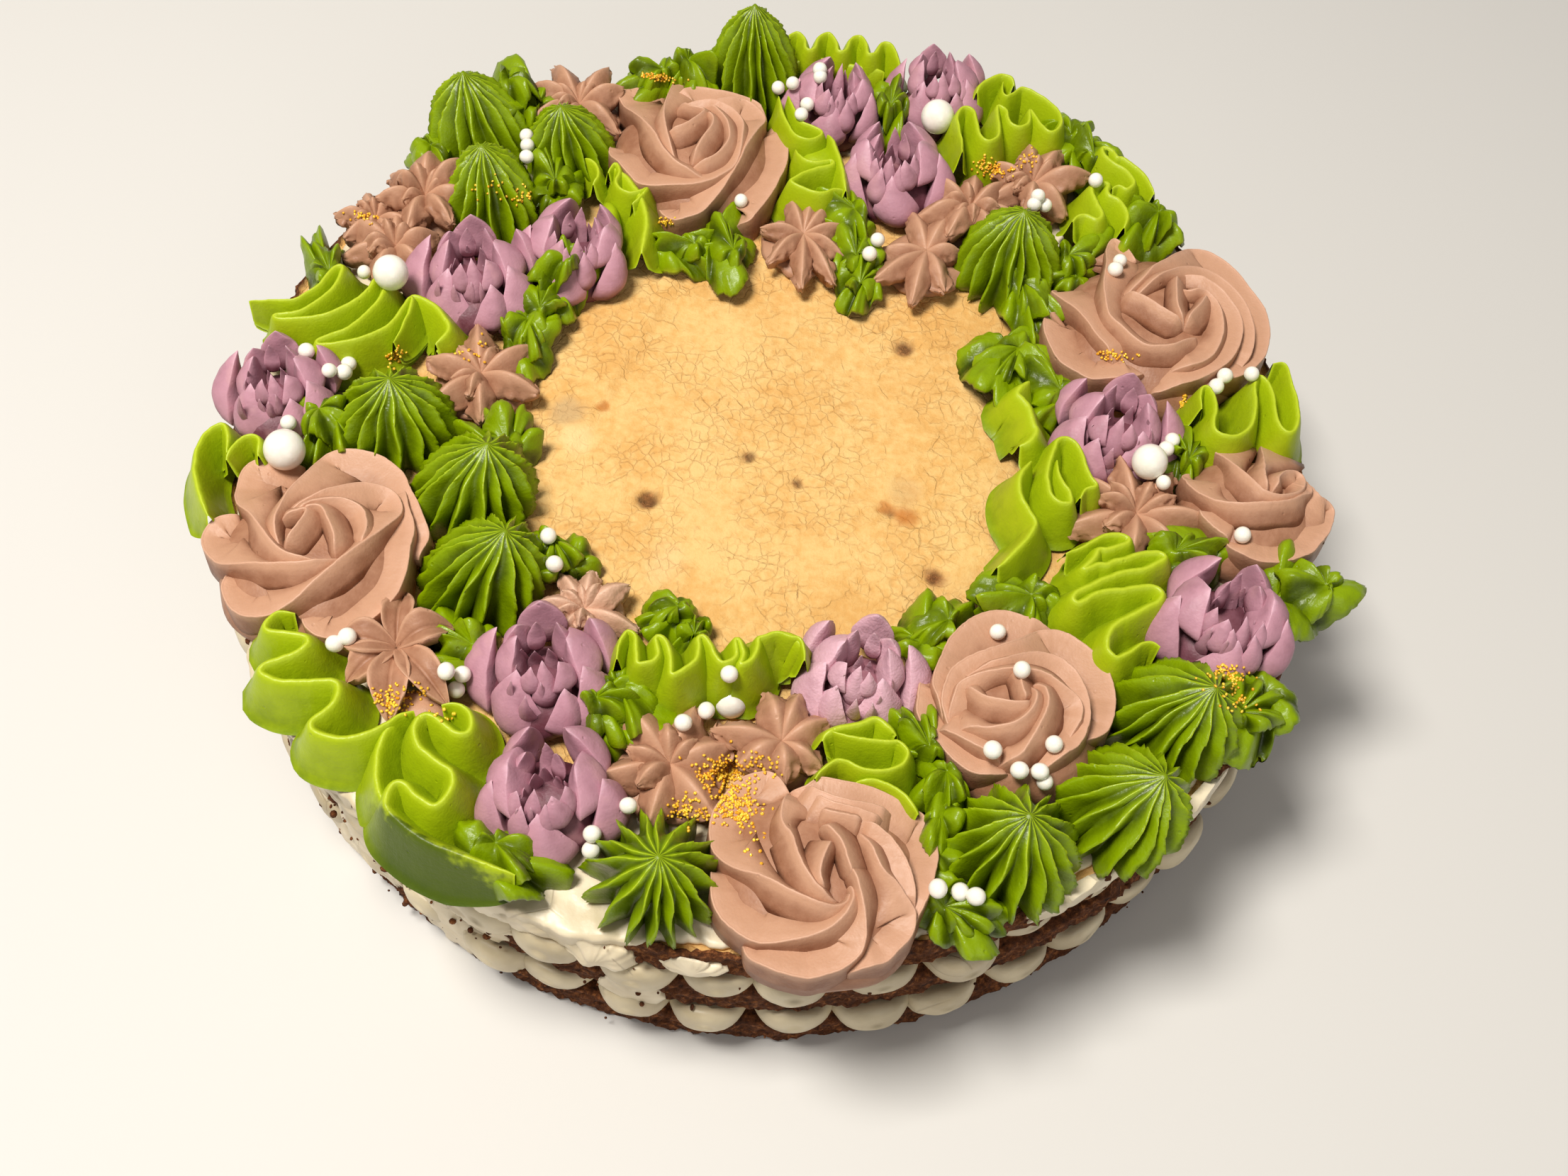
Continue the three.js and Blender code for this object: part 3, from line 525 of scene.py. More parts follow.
def rim(node):
    """The spread cream round the top: a ring whose outer edge wanders, whose top shows strokes
    of the knife, and which hangs down the side over the left front."""
    angle = np.linspace(0, TURN, 900, endpoint=False)
    degrees = np.degrees(angle)
    hang = smooth(0, 12, np.minimum(degrees - HANG_FROM, HANG_TO - degrees))
    lump = 3.0 * smooth(0, 6, np.minimum(degrees - HANG_FROM, LUMP_TO - degrees))
    way = np.stack([np.cos(angle), np.sin(angle)], -1) * COOKIE_RADIUS
    wander = 0.9 * waves(way, 40, 71) + 0.55 * waves(way, 11, 72) + 0.3 * waves(way, 4, 73)
    outer = RIM_OUTER - 1.6 + wander + hang * (HANG_OUTER - RIM_OUTER + 1.2) + lump
    deep = 0.3 + hang * (5.2 + 1.4 * waves(way, 14, 74))
    floor, shoulder = TOP_FACE - RIM_THICK, TOP_FACE - 1.2
    rows = [(RIM_INNER + (outer - EDGE_ROUND - RIM_INNER) * share, TOP_FACE)
            for share in np.linspace(0, 1, 30)]
    rows += [(outer - EDGE_ROUND + EDGE_ROUND * math.sin(turn), shoulder + 1.2 * math.cos(turn))
             for turn in np.linspace(0.2, 1, 6) * math.pi / 2]
    rows += [(outer - 0.5 * share, shoulder - (RIM_THICK - 1.2 + deep) * share)
             for share in np.linspace(0.15, 1, 8)]
    rows += [(outer - 1.8 - lump * 0.5, floor - deep), (outer - 2.0 - lump * 0.5, floor),
             (RIM_INNER, floor)]
    radius = np.array([row[0] + 0 * angle for row in rows])
    z = np.array([row[1] + 0 * angle for row in rows])
    spot = polar(radius, angle, z)
    stroke = 0.35 * waves(spot * [1, 1, 0.4], 6, 75) + 0.2 * waves(spot, 2.2, 76)
    outwards = smooth(112, 124, radius)
    spot[..., 2] += (stroke + 0.5) * outwards * (z > floor + 0.1) - 0.15
    spot[..., :2] *= (1 + 0.5 * stroke * outwards / COOKIE_RADIUS)[..., None]
    spot[..., 2] = np.minimum(spot[..., 2], TOP_FACE + 1.4)
    piping = Piping()
    rings = np.swapaxes(spot, 0, 1)
    piping.add(np.concatenate([rings, rings[:1]]))
    return piping.make(node + "_spread", CREAM, "white_cream", [node])


# Cream smeared on the side: degrees round, height, half width, half height and thickness.
SMEARS = [(318, 51, 10, 4.5, 1.4), (303, 51, 9, 4.5, 1.3), (216, 42, 7, 8, 3.2),
          (213, 30, 6, 9, 1.6), (221, 34, 9, 13, 1.6), (228, 45, 12, 5, 2.0),
          (231, 21, 9, 15, 1.3), (237, 43, 10, 7, 1.8), (242, 14, 10, 12, 1.2),
          (246, 33, 8, 9, 1.5), (251, 46, 9, 5, 1.8), (259, 45, 7, 6, 3.0), (262, 25, 6, 9, 1.2),
          (205, 46, 9, 5, 1.6), (196, 26, 7, 7, 1.1), (225, 8, 8, 7, 1.2), (268, 47, 6, 4, 1.6),
          (307, 49, 11, 3, 0.8), (322, 48, 8, 4, 0.8)]


def smears(name):
    """Thin patches of cream that lie on the side: ovals with a wandering outline, highest near
    the middle and feathered out between the crumbs, wrapped round the cake."""
    piping = Piping()
    turn = np.linspace(0, TURN, 90, endpoint=False)[None, :]
    share = np.concatenate([[0.4, 0.85], np.linspace(0.96, 0.04, 14)])[:, None]
    for k, (degrees, z, wide, tall, thick) in enumerate(SMEARS):
        oval = np.stack([np.cos(turn) * wide, np.sin(turn) * tall], -1) * 1.12
        reach = 1 + 0.22 * waves(oval, 9, 900 + k) + 0.12 * waves(oval, 3.5, 930 + k)
        spot = oval * reach[..., None] * share[..., None]
        level = thick * (1.1 - share ** 2.4) * (1 + 0.3 * waves(spot, 7, 960 + k)) + 0.1
        level[:2] = -1.6
        angle = math.radians(degrees) + spot[..., 0] / COOKIE_RADIUS
        height = np.clip(z + spot[..., 1], 0.1, TOP_FACE + 0.6)
        piping.add(polar(COOKIE_RADIUS - 0.2 + level, angle, height))
    piping.make(name, CREAM, "white_cream")


def crumbs(name):
    """Crumbs of cookie caught in the smeared cream: small lumps, most over the left front."""
    rng = np.random.default_rng(77)
    piping = Piping()
    lump = ball(1.0, 8, 6)
    for k in range(220):
        angle = math.radians(rng.normal(236, 16) if k < 170 else rng.uniform(0, 360))
        size = 0.25 + 0.8 * rng.uniform() ** 3
        place = polar(COOKIE_RADIUS + rng.uniform(0.2, 1.6), angle, rng.uniform(3, TOP_FACE))
        piping.add(lump * size * rng.uniform(0.6, 1.3, 3) + place)
    piping.make(name, BAKED, "baked_cookie")


# ---- Piped shapes ------------------------------------------------------------------------

def settle(path, height):
    """Moves a path given as seen from the camera to where it is: points x, y and a height above
    the top face, which may be one number for all."""
    path = np.asarray(path, float)
    height = np.broadcast_to(height, len(path))
    return np.stack([path[:, 0], path[:, 1] - SEEN_SHIFT * (height - SEEN_PLANE), height], -1)


def evenly(path, step, least):
    """The path again with a point about every `step` millimetres, and at least `least`."""
    long = np.linalg.norm(np.diff(path, axis=0), axis=1).sum()
    return spline(path, max(int(long / step), least))


def sideways(path):
    """Unit vectors in plan across a path, to the right of its run."""
    run = np.gradient(path[:, :2], axis=0)
    run /= np.maximum(np.linalg.norm(run, axis=1, keepdims=True), 1e-9)
    return np.stack([run[:, 1], -run[:, 0]], -1)


def lip(piping, path, out, inner, outer, seed, ragged=0.0):
    """A sheet of cream along a path of its lip: points x, y and height. In section it falls from
    a thin rounded lip to `inner` on one side and `outer` on the other, each a run and a drop;
    `out` gives the unit vectors in plan towards the outer side. All may change on the way."""
    count = len(path)
    inner, inner_drop, outer, outer_drop = (
        np.broadcast_to(v, count)[:, None] for v in (*inner, *outer))
    q = np.array([0.0, 0.02, 0.07, 0.16, 0.3, 0.48, 0.7, 1.0])
    thin = 0.22
    inside_out = -thin - (inner - thin) * q ** 1.15
    inside_up = -inner_drop * (0.5 * q + 0.5 * q ** 1.8)
    outside_out = thin + (outer - thin) * q
    outside_up = -outer_drop * (0.7 * q + 0.3 * q ** 1.5)
    across = np.concatenate([inside_out[:, ::-1], 0 * inner, outside_out], 1)
    up = np.concatenate([inside_up[:, ::-1] - 0.10, 0.14 + 0 * inner, outside_up - 0.10], 1)
    if ragged:
        rough = waves(path, 2.2, seed) * ragged + waves(path, 0.9, seed + 1) * ragged * 0.6
        fade = np.exp(up / 1.5)
        across = across + rough[:, None] * fade
        up = up + np.abs(waves(path, 1.5, seed + 2))[:, None] * ragged * fade
    gentle = 0.16 * waves(path, 9, seed + 3)[:, None]
    # Crest value: highest on the lip, for its painted highlight, and lower down each side, into painted
    # shade.
    piping.add(on_top(path[:, :1] + out[:, :1] * (across + gentle),
                      path[:, 1:2] + out[:, 1:] * (across + gentle), path[:, 2:3] + up),
               np.exp(up / 1.1))


def rose(piping, centre, radius, height, lips, seed, ragged=0.0):
    """A swirled rose. Each lip is a path seen from the camera; its height falls from the middle
    to the edge, and its sheet leans outwards the more, the farther out it is. A low domed body
    fills the middle under the sheets."""
    middle = np.array(centre, float)
    for k, line in enumerate(lips):
        seen = spline(line, max(int(5 * len(line)), 24))
        level = np.full(len(seen), 0.8 * height)
        for _ in range(5):
            path = settle(seen, level)
            share = np.linalg.norm(path[:, :2] - middle, axis=1) / radius
            level = height * (1 - 0.42 * np.clip(share, 0, 1.1) ** 1.7)
        path = evenly(settle(seen, level), 0.55, 20)
        share = np.clip(np.linalg.norm(path[:, :2] - middle, axis=1) / radius, 0, 1)
        side = sideways(path)
        away = path[:, :2] - middle
        side *= np.where((side * away).sum(axis=1).mean() < 0, -1, 1)
        run = np.linspace(0, 1, len(path))
        ends = np.clip(np.minimum(run, 1 - run) / 0.12, 0.0, 1) ** 0.6
        part = 0.35 + 0.65 * ends
        flat = smooth(0.35, 0.9, share)
        inner = ((2.2 + 8.6 * flat) * part, (4.2 - 1.7 * flat) * part)
        outer = ((4.6 - 3.9 * flat) * part, (4.8 + 4.0 * flat) * part)
        path[:, 2] -= (1 - ends) * 3.4
        lip(piping, path, side, inner, outer, seed * 40 + k, ragged)
    angle = np.linspace(0, TURN, 72, endpoint=False)
    reach = np.array([0.94, 0.96, 0.92, 0.80, 0.62, 0.42, 0.2, 0.04])[:, None]
    level = height * np.array([0.0, 0.14, 0.30, 0.48, 0.60, 0.69, 0.73, 0.74])[:, None]
    lobes = 1 + 0.03 * np.cos(6 * angle + seed)
    # The body's low crest value paints it mostly in shade, under the sheets.
    piping.add(polar(reach * radius * lobes, angle, TOP_FACE + level) + [*middle, 0], 0.12)


def dome(piping, x, y, along, across, height, turn, lean, seed, ribs=16):
    """A ribbed star dome. Round the foot the radius falls from each sharp crest into a rounded
    groove as 1 - (1 - distance from the crest) ** 1.9; upwards it follows a full belly that draws
    in to a pinched tip, and the whole shape leans towards `lean`."""
    rng = np.random.default_rng(seed)
    t = np.linspace(0, 1, 46)
    belly = spline([(0.84, 0.0), (0.98, 0.10), (1.0, 0.28), (0.90, 0.52), (0.66, 0.75),
                    (0.34, 0.91), (0.12, 0.985), (0.03, 1.03)], len(t))
    phase = np.linspace(0, ribs, ribs * 12, endpoint=False)
    rib = phase.astype(int)
    part = np.abs(2 * (phase - rib) - 1)
    widths = rng.uniform(0.75, 1.25, ribs)
    bounds = np.concatenate([[0], np.cumsum(widths)]) / widths.sum() * TURN
    angle = bounds[rib] + (phase - rib) * np.diff(bounds)[rib]
    t = t[:, None]
    swirl = rng.uniform(-0.25, 0.25) * t ** 1.5 \
        + 0.05 * rng.normal(size=ribs)[rib] * np.sin(3 * t) \
        + 0.035 * np.sin(14 * t + rng.uniform(0, TURN, ribs)[rib])
    fall = 1 - (1 - (np.sqrt(part ** 2 + 0.01) - 0.1) / 0.905) ** 1.9
    depth = 0.44 * (1 - t ** 3) * smooth(-0.4, 0.25, t) * rng.uniform(0.85, 1.1, ribs)[rib]
    foot = 1 + 0.10 * rng.uniform(-0.6, 1, ribs)[rib] * (1 - smooth(0, 0.3, t))
    radius = belly[:, :1] * foot * (1 - depth * fall)
    # Crest value: painted highlight along each rib's crest, painted shade in the grooves and, lower down,
    # towards the foot.
    crest = (1 - part) ** 2.2
    spot = xyz(radius * along * np.cos(angle), radius * across * np.sin(angle),
               belly[:, 1:] * height)
    saw = 0.55 * waves(spot, 2.0, seed + 5) + 0.30 * waves(spot, 1.0, seed + 6)
    radius = radius + saw * crest ** 2 / along * smooth(1.0, 0.8, t)
    x, y = swing(x, y, radius * along * np.cos(angle + swirl),
                 radius * across * np.sin(angle + swirl), turn)
    up, rise = belly[:, 1:], belly[:, 1:] ** 1.4
    piping.add(xyz(x + lean[0] * rise, y + lean[1] * rise,
                   TOP_FACE + up * (height + 0.25 * waves(spot, 6, seed + 7))),
               crest * (0.35 + 0.65 * up))


def bud(piping, foot, tip, wide, thick, facing, seed, rows=20):
    """A plump pointed petal from `foot` to `tip`: a lens-shaped section whose half width swells
    as sin(pi u ** 0.62) ** 0.95 and closes in a point, flatter at its back."""
    u = np.linspace(0, 1, rows)[:, None]
    v = np.linspace(0, TURN, rows + 2, endpoint=False)
    swell = np.sin(math.pi * np.clip(u * 0.92 + 0.08, 0, 1) ** 0.62) ** 0.95
    foot, tip = np.asarray(foot, float), np.asarray(tip, float)
    front = np.array([math.cos(facing), math.sin(facing), 0])
    side = np.array([-math.sin(facing), math.cos(facing), 0])
    belly = 0.10 * np.linalg.norm(tip - foot) * np.sin(math.pi * u)
    axis = foot + (tip - foot) * u + front * belly
    across = wide * swell * np.sin(v)
    out = thick * swell * np.sign(np.cos(v)) * (1 - np.abs(np.sin(v)) ** 2.4) \
        * np.where(np.cos(v) > 0, 1.0, 0.45)
    spot = axis[:, None, :] + across[..., None] * side + out[..., None] * front
    spot += (0.22 * waves(spot, 6, seed)[..., None]) * front
    spot += (0.12 * waves(spot, 2.5, seed + 1)[..., None]) * side
    # Crest value: painted shade at the foot, painted highlight towards the tip and along the sharp rims.
    crest = 0.55 * smooth(0.04, 0.4, u) - 0.22 + 0.6 * smooth(0.75, 1, u) \
        + 0.4 * np.abs(np.sin(v)) ** 8
    piping.add(on_top(*np.moveaxis(spot, -1, 0)), np.clip(crest, -0.22, 1))


YOUNG_BUDS = 10           # in the middle of each cluster


def cluster(piping, x, y, size, height, mirror, buds, seed):
    """A succulent of buds, with young ones by chance in the middle, over a body darkened as painted shade
    in the gaps between the buds. Each row gives a bud as seen from the camera, from the middle of the
    cluster: its tip x and y, its left, right and lowest edge, and the height of its tip. The foot lies
    where the line of sight past the lowest edge meets the bud's own height."""
    for k, (tip_x, tip_y, left, right, low, tall) in enumerate(buds):
        tall *= height
        tip_x, middle = mirror * size * tip_x, mirror * size * (left + right) / 2
        tip_y, low = size * tip_y, size * low
        half = size * (right - left) / 2
        base = max(tall - 0.82 * (tip_y - low), 0)
        foot_y = low - SEEN_SHIFT * (base - SEEN_PLANE) + 0.42 * half
        facing = math.atan2(foot_y, middle)
        wide = half / math.hypot(math.sin(facing), 0.55 * math.cos(facing)) * 1.02
        bud(piping, (x + middle, y + foot_y, max(base - 2.5, 0)),
            (x + tip_x, y + tip_y - SEEN_SHIFT * (tall - SEEN_PLANE), tall),
            0.96 * wide, 0.70 * wide, facing, seed * 31 + k)
    # The mound's low tone paints shade between the buds.
    mound(piping, x, y - 1.5, 11 * size, 11 * size, 8 * height, 0, seed, tone=-0.3)
    rng = np.random.default_rng(seed)
    for k in range(YOUNG_BUDS):
        angle = TURN * (k + rng.uniform(-0.3, 0.3)) / YOUNG_BUDS
        out = np.array([math.cos(angle), math.sin(angle)])
        foot = np.array([x, y - 2]) + size * rng.uniform(2.2, 6.0) * out
        bud(piping, (*foot, 3), (*(foot + 1.4 * out), height * rng.uniform(12.5, 15.5)),
            size * rng.uniform(1.5, 2.2), size * rng.uniform(1.0, 1.5), angle,
            seed * 57 + k, rows=14)


def tent(piping, path, wide, drop, seed, sharp, ragged=0.0):
    """A fold of cream along a path of its crest: points x, y and height above the top face. To
    each side it falls by drop * (1 - (1 - d) ** sharp), d being the share of the half width
    `wide`, rounded at the crest, so that the foot spreads; both ends narrow and sink."""
    path = evenly(path, 0.5, 16)
    side = sideways(path)
    run = np.linspace(0, 1, len(path))[:, None]
    ends = np.clip(np.minimum(run, 1 - run) / 0.14, 0, 1) ** 0.5
    half = np.array([0.05, 0.11, 0.18, 0.28, 0.42, 0.6, 0.8, 1])
    d = np.concatenate([-half[::-1], [0], half])
    far = (np.sqrt(d ** 2 + 0.045) - 0.2121) / 0.8101
    across = d * wide * (0.25 + 0.75 * ends)
    up = -drop * (1 - (1 - far) ** sharp) * (0.5 + 0.5 * ends) - 0.9 * (1 - ends)
    rough = 0.18 * waves(path, 6, seed) + ragged * waves(path, 1.4, seed + 1)
    fade = np.exp(-np.abs(d) * 5)
    across = across + rough[:, None] * (0.3 + 0.7 * fade)
    up = up + ragged * waves(path, 1.9, seed + 2)[:, None] * fade
    # Crest value: painted highlight along the crest, falling into painted shade down each side.
    crest = 0.5 * np.exp(-np.abs(d) * 9) + 0.5 * np.clip(1 + up / drop, 0, 1) ** 0.7
    piping.add(on_top(path[:, :1] + side[:, :1] * across, path[:, 1:2] + side[:, 1:] * across,
                      path[:, 2:3] + up), crest)


def mound(piping, x, y, along, across, height, turn, seed, tone=0.15):
    """A low soft body of cream: an oval foot that swells a little and closes in a round top."""
    ring = np.linspace(0, TURN, 48, endpoint=False)
    reach = np.array([0.86, 0.96, 1.0, 0.94, 0.78, 0.5, 0.2, 0.03])[:, None]
    level = np.array([0.0, 0.14, 0.34, 0.58, 0.80, 0.95, 1.0, 1.0])[:, None]
    x, y = swing(x, y, reach * along * np.cos(ring), reach * across * np.sin(ring), turn)
    spot = xyz(x, y, level * height)
    spot += 0.05 * min(along, across) * waves(spot, 7, seed)[..., None]
    # Crest value: `tone` at the foot, 0.2 more at the top, so the buttercream paints shade low on the
    # mound and less higher up.
    piping.add(on_top(*np.moveaxis(spot, -1, 0)), tone + 0.2 * level)


def blade(piping, root, tip, wide, arch, keel, seed, ragged, deep):
    """A pulled petal or leaf from `root` to `tip`, points x, y and height above the top face.
    Its half width swells as sin(pi u ** 0.75) ** 0.55, later where it cups; its middle line
    arches by sin(pi u); across it falls from a fold by keel * |v| ** 1.3, or lifts where keel
    is negative; the edge ruffles and tears more towards the tip. The underside closes it `deep`
    below."""
    u = np.linspace(0, 1, 28)[:, None]
    v = np.concatenate([np.linspace(-1, 1, 19), np.linspace(1, -1, 7)[1:-1]])
    under = np.concatenate([np.zeros(19), np.ones(5)])
    root, tip = np.asarray(root, float), np.asarray(tip, float)
    run = tip - root
    side = np.array([-run[1], run[0]]) / max(math.hypot(run[0], run[1]), 1e-6)
    late, round_off = (1.1, 0.8) if keel < 0 else (0.75, 0.55)
    swell = np.sin(math.pi * np.clip(0.05 + 0.93 * u, 0, 1) ** late) ** round_off
    spot = xyz(u * 12, v * 6, 0)
    tear = ragged * (waves(spot, 3.2, seed) + 0.6 * waves(spot, 1.4, seed + 1)) \
        * np.abs(v) ** 2 * (0.4 + 0.9 * u)
    across = wide * swell * v + tear
    ahead = u + ragged * 0.06 * waves(spot, 2.6, seed + 2) * u ** 3
    up = root[2] + run[2] * u + arch * np.sin(math.pi * np.clip(u, 0, 1)) \
        - keel * wide * np.abs(v) ** 1.3 * swell - 0.8 * np.exp(-(v / 0.10) ** 2) * (keel < 0)
    up = up + ragged * 0.9 * waves(spot, 4.0, seed + 3) * np.abs(v) ** 1.5
    up = up - under * (0.9 + deep * np.clip(1 - v ** 2, 0, 1) ** 0.7 * swell)
    x = root[0] + run[0] * ahead + side[0] * across
    y = root[1] + run[1] * ahead + side[1] * across
    # Crest value: painted highlight along the fold, or on the rims where it cups, and near the tip;
    # painted shade on the underside.
    edge = smooth(0.72, 1, np.abs(v)) if keel < 0 else np.exp(-np.abs(v) * 6)
    crest = np.clip(0.15 + 0.6 * edge * (1 - under) + 0.2 * smooth(0.8, 1, u), 0, 1)
    piping.add(on_top(x, y, up), crest)


def blossom(piping, middle, tips, wide, height, keel, seed):
    """A drop flower: petals pulled out over a low mound from a pit in the middle to `tips`,
    points x, y and height above the top face. They fold along a ridge, or cup if keel < 0."""
    rng = np.random.default_rng(seed)
    reach = np.linalg.norm(np.asarray(tips)[:, :2] - middle[:2], axis=1)
    full = (0.45 if keel < 0 else 0.78) * reach.mean()
    mound(piping, middle[0], middle[1], full, full, 0.30 * height, 0, seed)
    for k, tip in enumerate(tips):
        blade(piping, middle, tip, wide * rng.uniform(0.86, 1.14),
              height * rng.uniform(0.22, 0.36), keel * rng.uniform(0.8, 1.2), seed * 17 + k,
              rng.uniform(0.4, 1.1) * (0.25 if keel < 0 else 1), height * 0.5)


def star(x, y, radius, height, turn, petals, seed):
    """Middle and tips of a drop flower whose petals stand evenly but for a little chance."""
    rng = np.random.default_rng(seed)
    angle = turn + TURN * (np.arange(petals) + rng.uniform(-0.2, 0.2, petals)) / petals
    long = radius * rng.uniform(0.92, 1.16, petals)
    level = height * rng.uniform(0.42, 0.75, petals)
    outer = np.stack([x + long * np.cos(angle), y + long * np.sin(angle), level], -1)
    angle, long = angle + math.pi / petals + rng.normal(0, 0.12, petals), 0.55 * long
    inner = np.stack([x + long * np.cos(angle), y + long * np.sin(angle),
                      height * rng.uniform(0.58, 0.80, petals)], -1)
    return np.array([x, y, 0.5 * height]), outer, inner[:petals - 2]


def leaf(piping, x, y, along, across, height, turn, seed):
    """Crumpled leaves: a smaller fan of cream over a larger. Each is an oval cut into lobes by
    a few notches; its pleats run out from a root near one end and grow towards a torn edge
    that curls down; the lobes rise or hang by chance."""
    rng = np.random.default_rng(seed)
    mound(piping, x, y, along * 0.62, across * 0.66, height * 0.42, turn, seed)
    angle = np.linspace(0, TURN, 112, endpoint=False)
    out = np.concatenate([np.linspace(0.05, 0.98, 4), np.linspace(1, 0.03, 13)])[:, None]
    under = np.concatenate([np.ones(4), np.zeros(13)])[:, None]
    for size, lift in ((1.16, 0.0), (0.74, 0.32)):
        pleats, phase = rng.integers(4, 7), rng.uniform(0, TURN, 4)
        heading = turn + rng.normal(0, 0.5) + (math.pi if rng.uniform() < 0.5 else 0)
        warp = angle + 0.45 * np.sin(angle + phase[0]) + 0.2 * np.sin(2 * angle + phase[1])
        fold = np.cos(pleats * warp) + 0.35 * np.cos(2 * pleats * warp + phase[2])
        reach = 1 + 0.10 * np.sin(2 * angle + phase[3]) + 0.08 * np.sin(3 * angle + phase[2])
        for _ in range(4):
            apart = np.angle(np.exp(1j * (angle - rng.uniform(0, TURN))))
            reach = reach - rng.uniform(0.14, 0.34) * np.exp(-(apart / rng.uniform(0.1, 0.2)) ** 2)
        circle = np.stack([np.cos(angle) * along, np.sin(angle) * across], -1)
        reach = size * (reach + 0.07 * fold + 0.035 * waves(circle, 2.4, seed + 1)
                        + 0.03 * waves(circle, 1.0, seed + 2))
        root = np.array([math.cos(heading - turn) * along, math.sin(heading - turn) * across]) \
            * -0.5 * size
        outline = circle * reach[..., None]
        spot = root + out[..., None] * (outline - root)
        far = out * np.linalg.norm(outline - root, axis=-1) / along
        rise = 0.22 * np.sin(2 * angle + phase[1]) + 0.18 * np.sin(3 * angle + phase[0])
        z = height * (0.58 + lift + rise * out ** 1.5 + 0.14 * np.sin(math.pi * out)
                      - 0.24 * out ** 7) \
            + 0.20 * min(along, across) * fold * far + 0.6 * waves(spot, 4, seed + 3) * out \
            - under * (1.3 + 3.2 * (1 - out ** 2))
        # Crest value: painted highlight on the pleats' ridges and the torn edge, painted shade in their
        # valleys and on the underside.
        crest = np.clip(0.26 + 0.32 * fold * out ** 0.5 + 0.2 * smooth(0.9, 1, out), -0.3, 1) \
            * (1 - under)
        piping.add(on_top(*swing(x, y, spot[..., 0], spot[..., 1], turn), z), crest)


# ---- The wreath --------------------------------------------------------------------------

